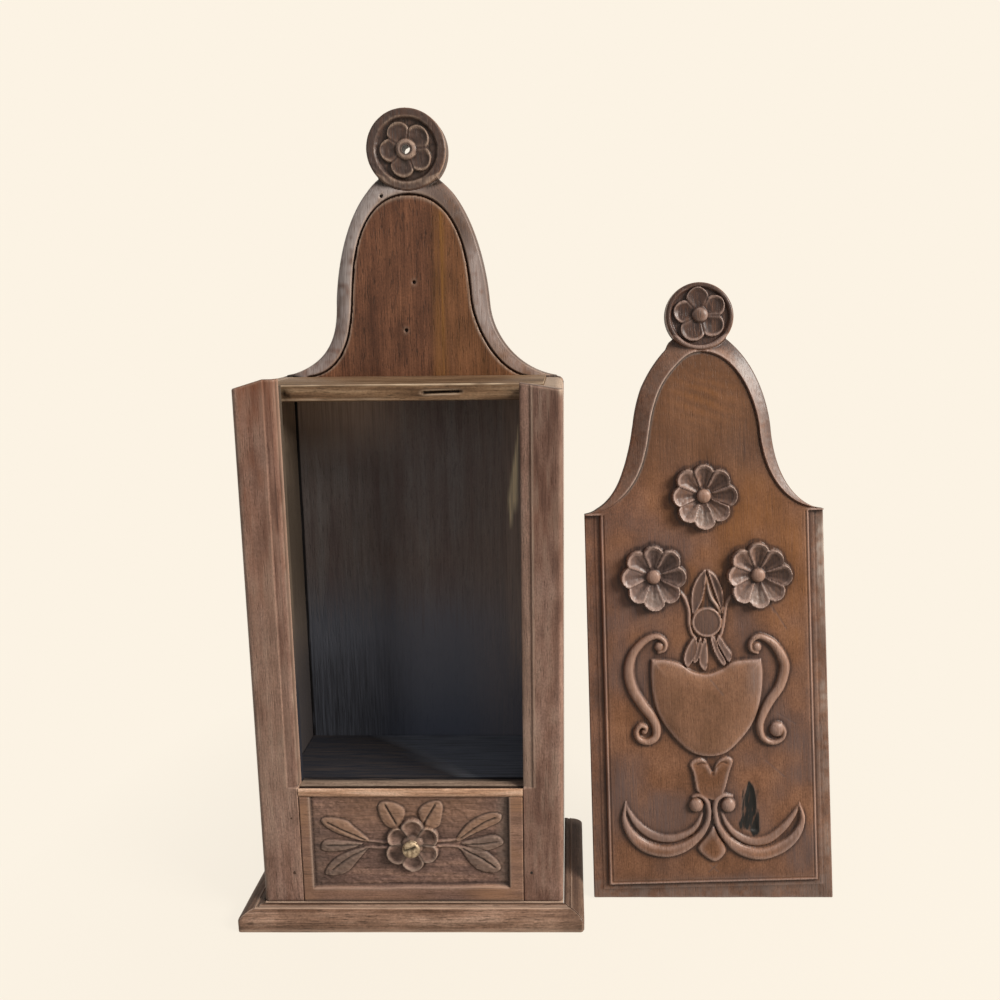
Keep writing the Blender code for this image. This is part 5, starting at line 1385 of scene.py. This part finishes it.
def carveLidOrnament(relief):
    relief["u"] -= lid["ornamentShift"]  # the carver set it out a little left of the middle
    for x, y in lid["flowers"]:
        carveFlower(relief, {**lid["flower"], "at": (x, y)})
        reach = np.hypot(relief["u"] - x, relief["v"] - y)
        petals = (reach < lid["flower"]["radius"]) * smoothStep((reach - lid["flower"]["button"]) / 4)
        # painted light on the lowest petals and painted shade on those at the upper right
        lowest = smoothStep((y - relief["v"] - 6) / 12) * np.exp(-((relief["u"] - x) / 13) ** 2)
        toCorner = smoothStep((relief["u"] - x + relief["v"] - y) / 26)
        stain(relief, bleached=0.32 * lowest * petals, dim=0.55 * toCorner * petals)
    for line in lid["stems"]:
        carveBand(relief, curveThrough(line), lid["stemWidths"], 2.4, pale=0.5)
    carveShape(relief, curveThrough(lid["budHeart"], closed=True), 0.6, 0.8, 0.0, 3, 0.95)
    carveBand(relief, curveThrough(lid["budLine"]), lid["budLineWidths"], 2.9, bleached=0.35)
    for outline, dirtAndShade, paleness in zip(lid["bud"], (0.6, 1.0), (0.9, 0.6)):
        carveShape(relief, curveThrough(outline, closed=True), 3.0, 0.9, -2.0, 3, dirtAndShade, pale=paleness)
    for outline in lid["fan"]:
        carveShape(relief, curveThrough(outline, closed=True), 3.4, 0.9, -1.5, 2.6, 0.3, pale=0.8)
    x, y, radius = lid["ball"]  # a flat disc inside a raised ring
    carveBall(relief, x, y, radius, 3.2, 0.15, pale=0.75)
    near = within(relief, [(x, y)], radius)
    sunk = smoothStep((radius - 1.4 - np.hypot(relief["u"][near] - x, relief["v"][near] - y)) / 1.2)
    relief["w"][near] -= 1.1 * sunk
    stain(relief, near, dim=0.5 * sunk)
    urn = np.vstack((curveThrough(lid["urnRim"]), curveThrough(lid["urnBowl"])[1:-1]))
    leaves = relief["w"].copy()
    carveShape(relief, urn, 1.9, 1.2, 2.6, 15, warm=0.45, bleached=0.07)
    inUrn = insideOf(relief["u"], relief["v"], urn)
    relief["cool"] *= 1 - 0.8 * smoothStep(inUrn / 4)
    relief["w"] = np.maximum(relief["w"], leaves)
    sheen = np.exp(-((relief["u"] - 41) / 7) ** 2 - ((relief["v"] - 192) / 17) ** 2)  # a painted sheen at the urn's upper right
    stain(relief, pale=0.8 * sheen * (inUrn > 0))
    for line in lid["handles"]:
        carveBand(relief, curveThrough(line), lid["handleWidths"], 3.4, warm=0.85, dim=0.12)
    for x, y, radius, rise in lid["balls"]:
        carveBall(relief, x, y, radius, rise, warm=0.4)
    carveShape(relief, curveThrough(lid["tulip"], closed=True), 2.3, 1.0, -0.7, 4, warm=0.3)
    for line in lid["tulipLips"]:
        cutLine(relief, curveThrough(line), 0.8, 0.8)
    for line in lid["innerSprays"]:
        carveBand(relief, curveThrough(line), lid["innerWidths"], 1.8, 0.35, dim=0.35)
    for line in lid["sprays"]:
        carveBand(relief, curveThrough(line), lid["sprayWidths"], 2.9, 0.3)
    carveShape(relief, curveThrough(lid["footBud"], closed=True), 1.6, 1.3, 0.8, 5)
    near = within(relief, lid["scar"])
    u, v = relief["u"][near], relief["v"][near]
    depth = insideOf(u, v, curveThrough(lid["scar"], closed=True))
    rough = unevenness(44, 2.6)(u, v / 4)
    relief["w"][near] -= smoothStep(depth / 3) * (1.0 + 0.7 * rough)
    streaks = np.clip(1.1 + 0.9 * unevenness(45, 1.1)(u - 0.2 * v, v / 7), 0.2, 1)
    relief["scar"][near] = smoothStep((depth + 2.5 + 2 * rough) / 4) * streaks
    for line in lid["scratches"]:
        cutLine(relief, line, 0.45, 0.2, pale=0.9)
    relief["u"] += lid["ornamentShift"]


def makeLid():
    top = lid["shoulder"] + lid["rosetteRise"]
    fine = np.concatenate((np.linspace(0, 3, 9), np.arange(3.7, lid["shoulder"] - 12, 0.75)))
    crestRows = rowsOver(lid["shoulder"], lid, lid["shoulder"] - 13, 0.75, 1.0)
    rows = np.unique(np.round(np.concatenate((fine, crestRows)), 3))
    half = crestEdges(rows, lid["shoulder"], lid["tongue"], lid)
    lean = np.interp(rows - lid["shoulder"], *zip(*lid["leftLean"]))
    relief = newRelief(rows, -half - lean, half, 150)
    carveLidBoard(relief)
    carveLidOrnament(relief)
    height = top + lid["rosetteRadius"]
    depth = (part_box("backboard")[1].y - stileLow.y) / mm - lid["setback"]
    turn = Euler((-math.asin(depth / height), -math.radians(lid["tilt"]), 0), "YXZ")
    foot = Vector((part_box("base_moulding_right")[1].x + (lid["gap"] + lid["tongue"]) * mm,
                   stileLow.y + lid["setback"] * mm, 0))
    stand = Matrix.Translation(foot) @ turn.to_matrix().to_4x4()

    def place(u, v, w):
        # the foot was cut out of square
        skew = u * math.tan(math.radians(lid["tilt"])) * (1 - smoothStep(v / 12))
        return facing(0.0)(u, v - skew, w)

    mesh = solidFrom("lidBoard", relief, place, 3, 12, dirtAndShade=0.28)
    addPiece(mesh, "lid", "lid_board", [polishedWalnut, grimedWalnut], stand)
    for face in mesh.polygons:  # the edges all round it never took a shine
        atBack = any(mesh.vertices[i].co.y > -0.01 * mm for i in face.vertices)
        face.material_index = int(atBack and abs(face.normal.y) < 0.5)


makeLid()
print("lid made")

# Stage: a pale floor that keeps the shadow, a cream background, soft light from the upper right
stage = {
    "cream": "#fcf3e4", "matt": "#dbd3c6", "bounce": "#9a9083", "room": "#e6ebf4", "roomStrength": 0.23,
    "floorSize": 5.0, "floorDrop": 0.0002,
    "shadow": 0.1, "shadowMiddle": (0.11, 0.0, 0.0), "shadowReach": (0.20, 0.50),
    "aim": (0.12, 0.0, 0.3),
    "lamps": (  # name, place, size, watts, colour
        ("window", (2.2, -0.94, 1.55), 0.9, 128.0, "#fffaf2"),
        ("roomLight", (-0.7, -1.7, 0.9), 1.4, 2.5, "#eaeff8"),
        ("ceiling", (0.1, 0.1, 1.9), 1.6, 4.0, "#eaeff8")),
}


def backgroundRays(tree):  # what sees plain cream: the camera, and whatever mirrors or passes it on
    rays = addNode(tree, "ShaderNodeLightPath")
    seen = rays.outputs["Is Camera Ray"]
    for kind in ("Is Glossy Ray", "Is Transmission Ray"):
        seen = addNode(tree, "ShaderNodeMath", {"operation": "ADD", "use_clamp": True},
                       {0: seen, 1: rays.outputs[kind]}).outputs[0]
    return seen


# Matt cream paper: plain and even to the eye, with a faint soft shadow round the cabinet
def makePaper(name):
    material, tree = newMaterial(name)
    seen = backgroundRays(tree)
    place = addNode(tree, "ShaderNodeTexCoord").outputs["Object"]
    away = addNode(tree, "ShaderNodeVectorMath", {"operation": "DISTANCE", 1: stage["shadowMiddle"]}, {0: place})
    near, far = stage["shadowReach"]  # further off the floor is as plain as the background
    plain = addNode(tree, "ShaderNodeMapRange", {1: near, 2: far, 3: 1 - stage["shadow"], 4: 1.0},
                    {0: away.outputs[1]})
    matt = addNode(tree, "ShaderNodeBsdfDiffuse", {"Color": toLinear(stage["matt"])})
    glow = addNode(tree, "ShaderNodeEmission", {"Color": toLinear(stage["cream"]), "Strength": 1.0})
    paper = addNode(tree, "ShaderNodeMixShader",
                    links={0: plain.outputs[0], 1: matt.outputs[0], 2: glow.outputs[0]})
    bounce = addNode(tree, "ShaderNodeBsdfDiffuse", {"Color": toLinear(stage["bounce"])})
    both = addNode(tree, "ShaderNodeMixShader", links={0: seen, 1: bounce.outputs[0], 2: paper.outputs[0]})
    addNode(tree, "ShaderNodeOutputMaterial", links={"Surface": both.outputs[0]})
    return material


def makeStage():
    size = stage["floorSize"]
    mesh = bpy.data.meshes.new("floor")
    mesh.from_pydata([(-size, -size, 0), (size, -size, 0), (size, size, 0), (-size, size, 0)], [], [(0, 1, 2, 3)])
    mesh.materials.append(makePaper("creamPaper"))
    floor = bpy.data.objects.new("floor", mesh)
    floor.location.z = -stage["floorDrop"]
    scene.collection.objects.link(floor)

    world = bpy.data.worlds.new("studio")
    scene.world = world
    world.use_nodes = True
    tree = world.node_tree
    tree.nodes.clear()
    seen = backgroundRays(tree)
    room = addNode(tree, "ShaderNodeBackground",
                   {"Color": toLinear(stage["room"]), "Strength": stage["roomStrength"]})
    paper = addNode(tree, "ShaderNodeBackground", {"Color": toLinear(stage["cream"]), "Strength": 1.0})
    both = addNode(tree, "ShaderNodeMixShader", links={0: seen, 1: room.outputs[0], 2: paper.outputs[0]})
    addNode(tree, "ShaderNodeOutputWorld", links={"Surface": both.outputs[0]})

    for name, place, size, watts, colour in stage["lamps"]:
        lamp = bpy.data.lights.new(name, "AREA")
        lamp.shape, lamp.size, lamp.energy = "SQUARE", size, watts
        lamp.color = toLinear(colour)[:3]
        holder = bpy.data.objects.new(name, lamp)
        holder.location = place
        holder.rotation_euler = (Vector(stage["aim"]) - Vector(place)).to_track_quat("-Z", "Y").to_euler()
        scene.collection.objects.link(holder)


makeStage()
print("stage made")

# Camera, as far to the right of the cabinet's middle as the photograph shows
camera = {"place": (0.1302, -0.59405, 0.5071), "down": 8.567, "lens": 26.54, "shift": (-0.0696, -0.0819),
          "sensor": 36, "nearest": 0.01}
view = bpy.data.cameras.new("camera")
view.sensor_width, view.lens, view.clip_start = camera["sensor"], camera["lens"], camera["nearest"]
view.shift_x, view.shift_y = camera["shift"]
holder = bpy.data.objects.new("camera", view)
holder.location = camera["place"]
holder.rotation_euler = (math.radians(90 - camera["down"]), 0, 0)
scene.collection.objects.link(holder)
scene.camera = holder

bpy.context.view_layer.update()
print("scene made")
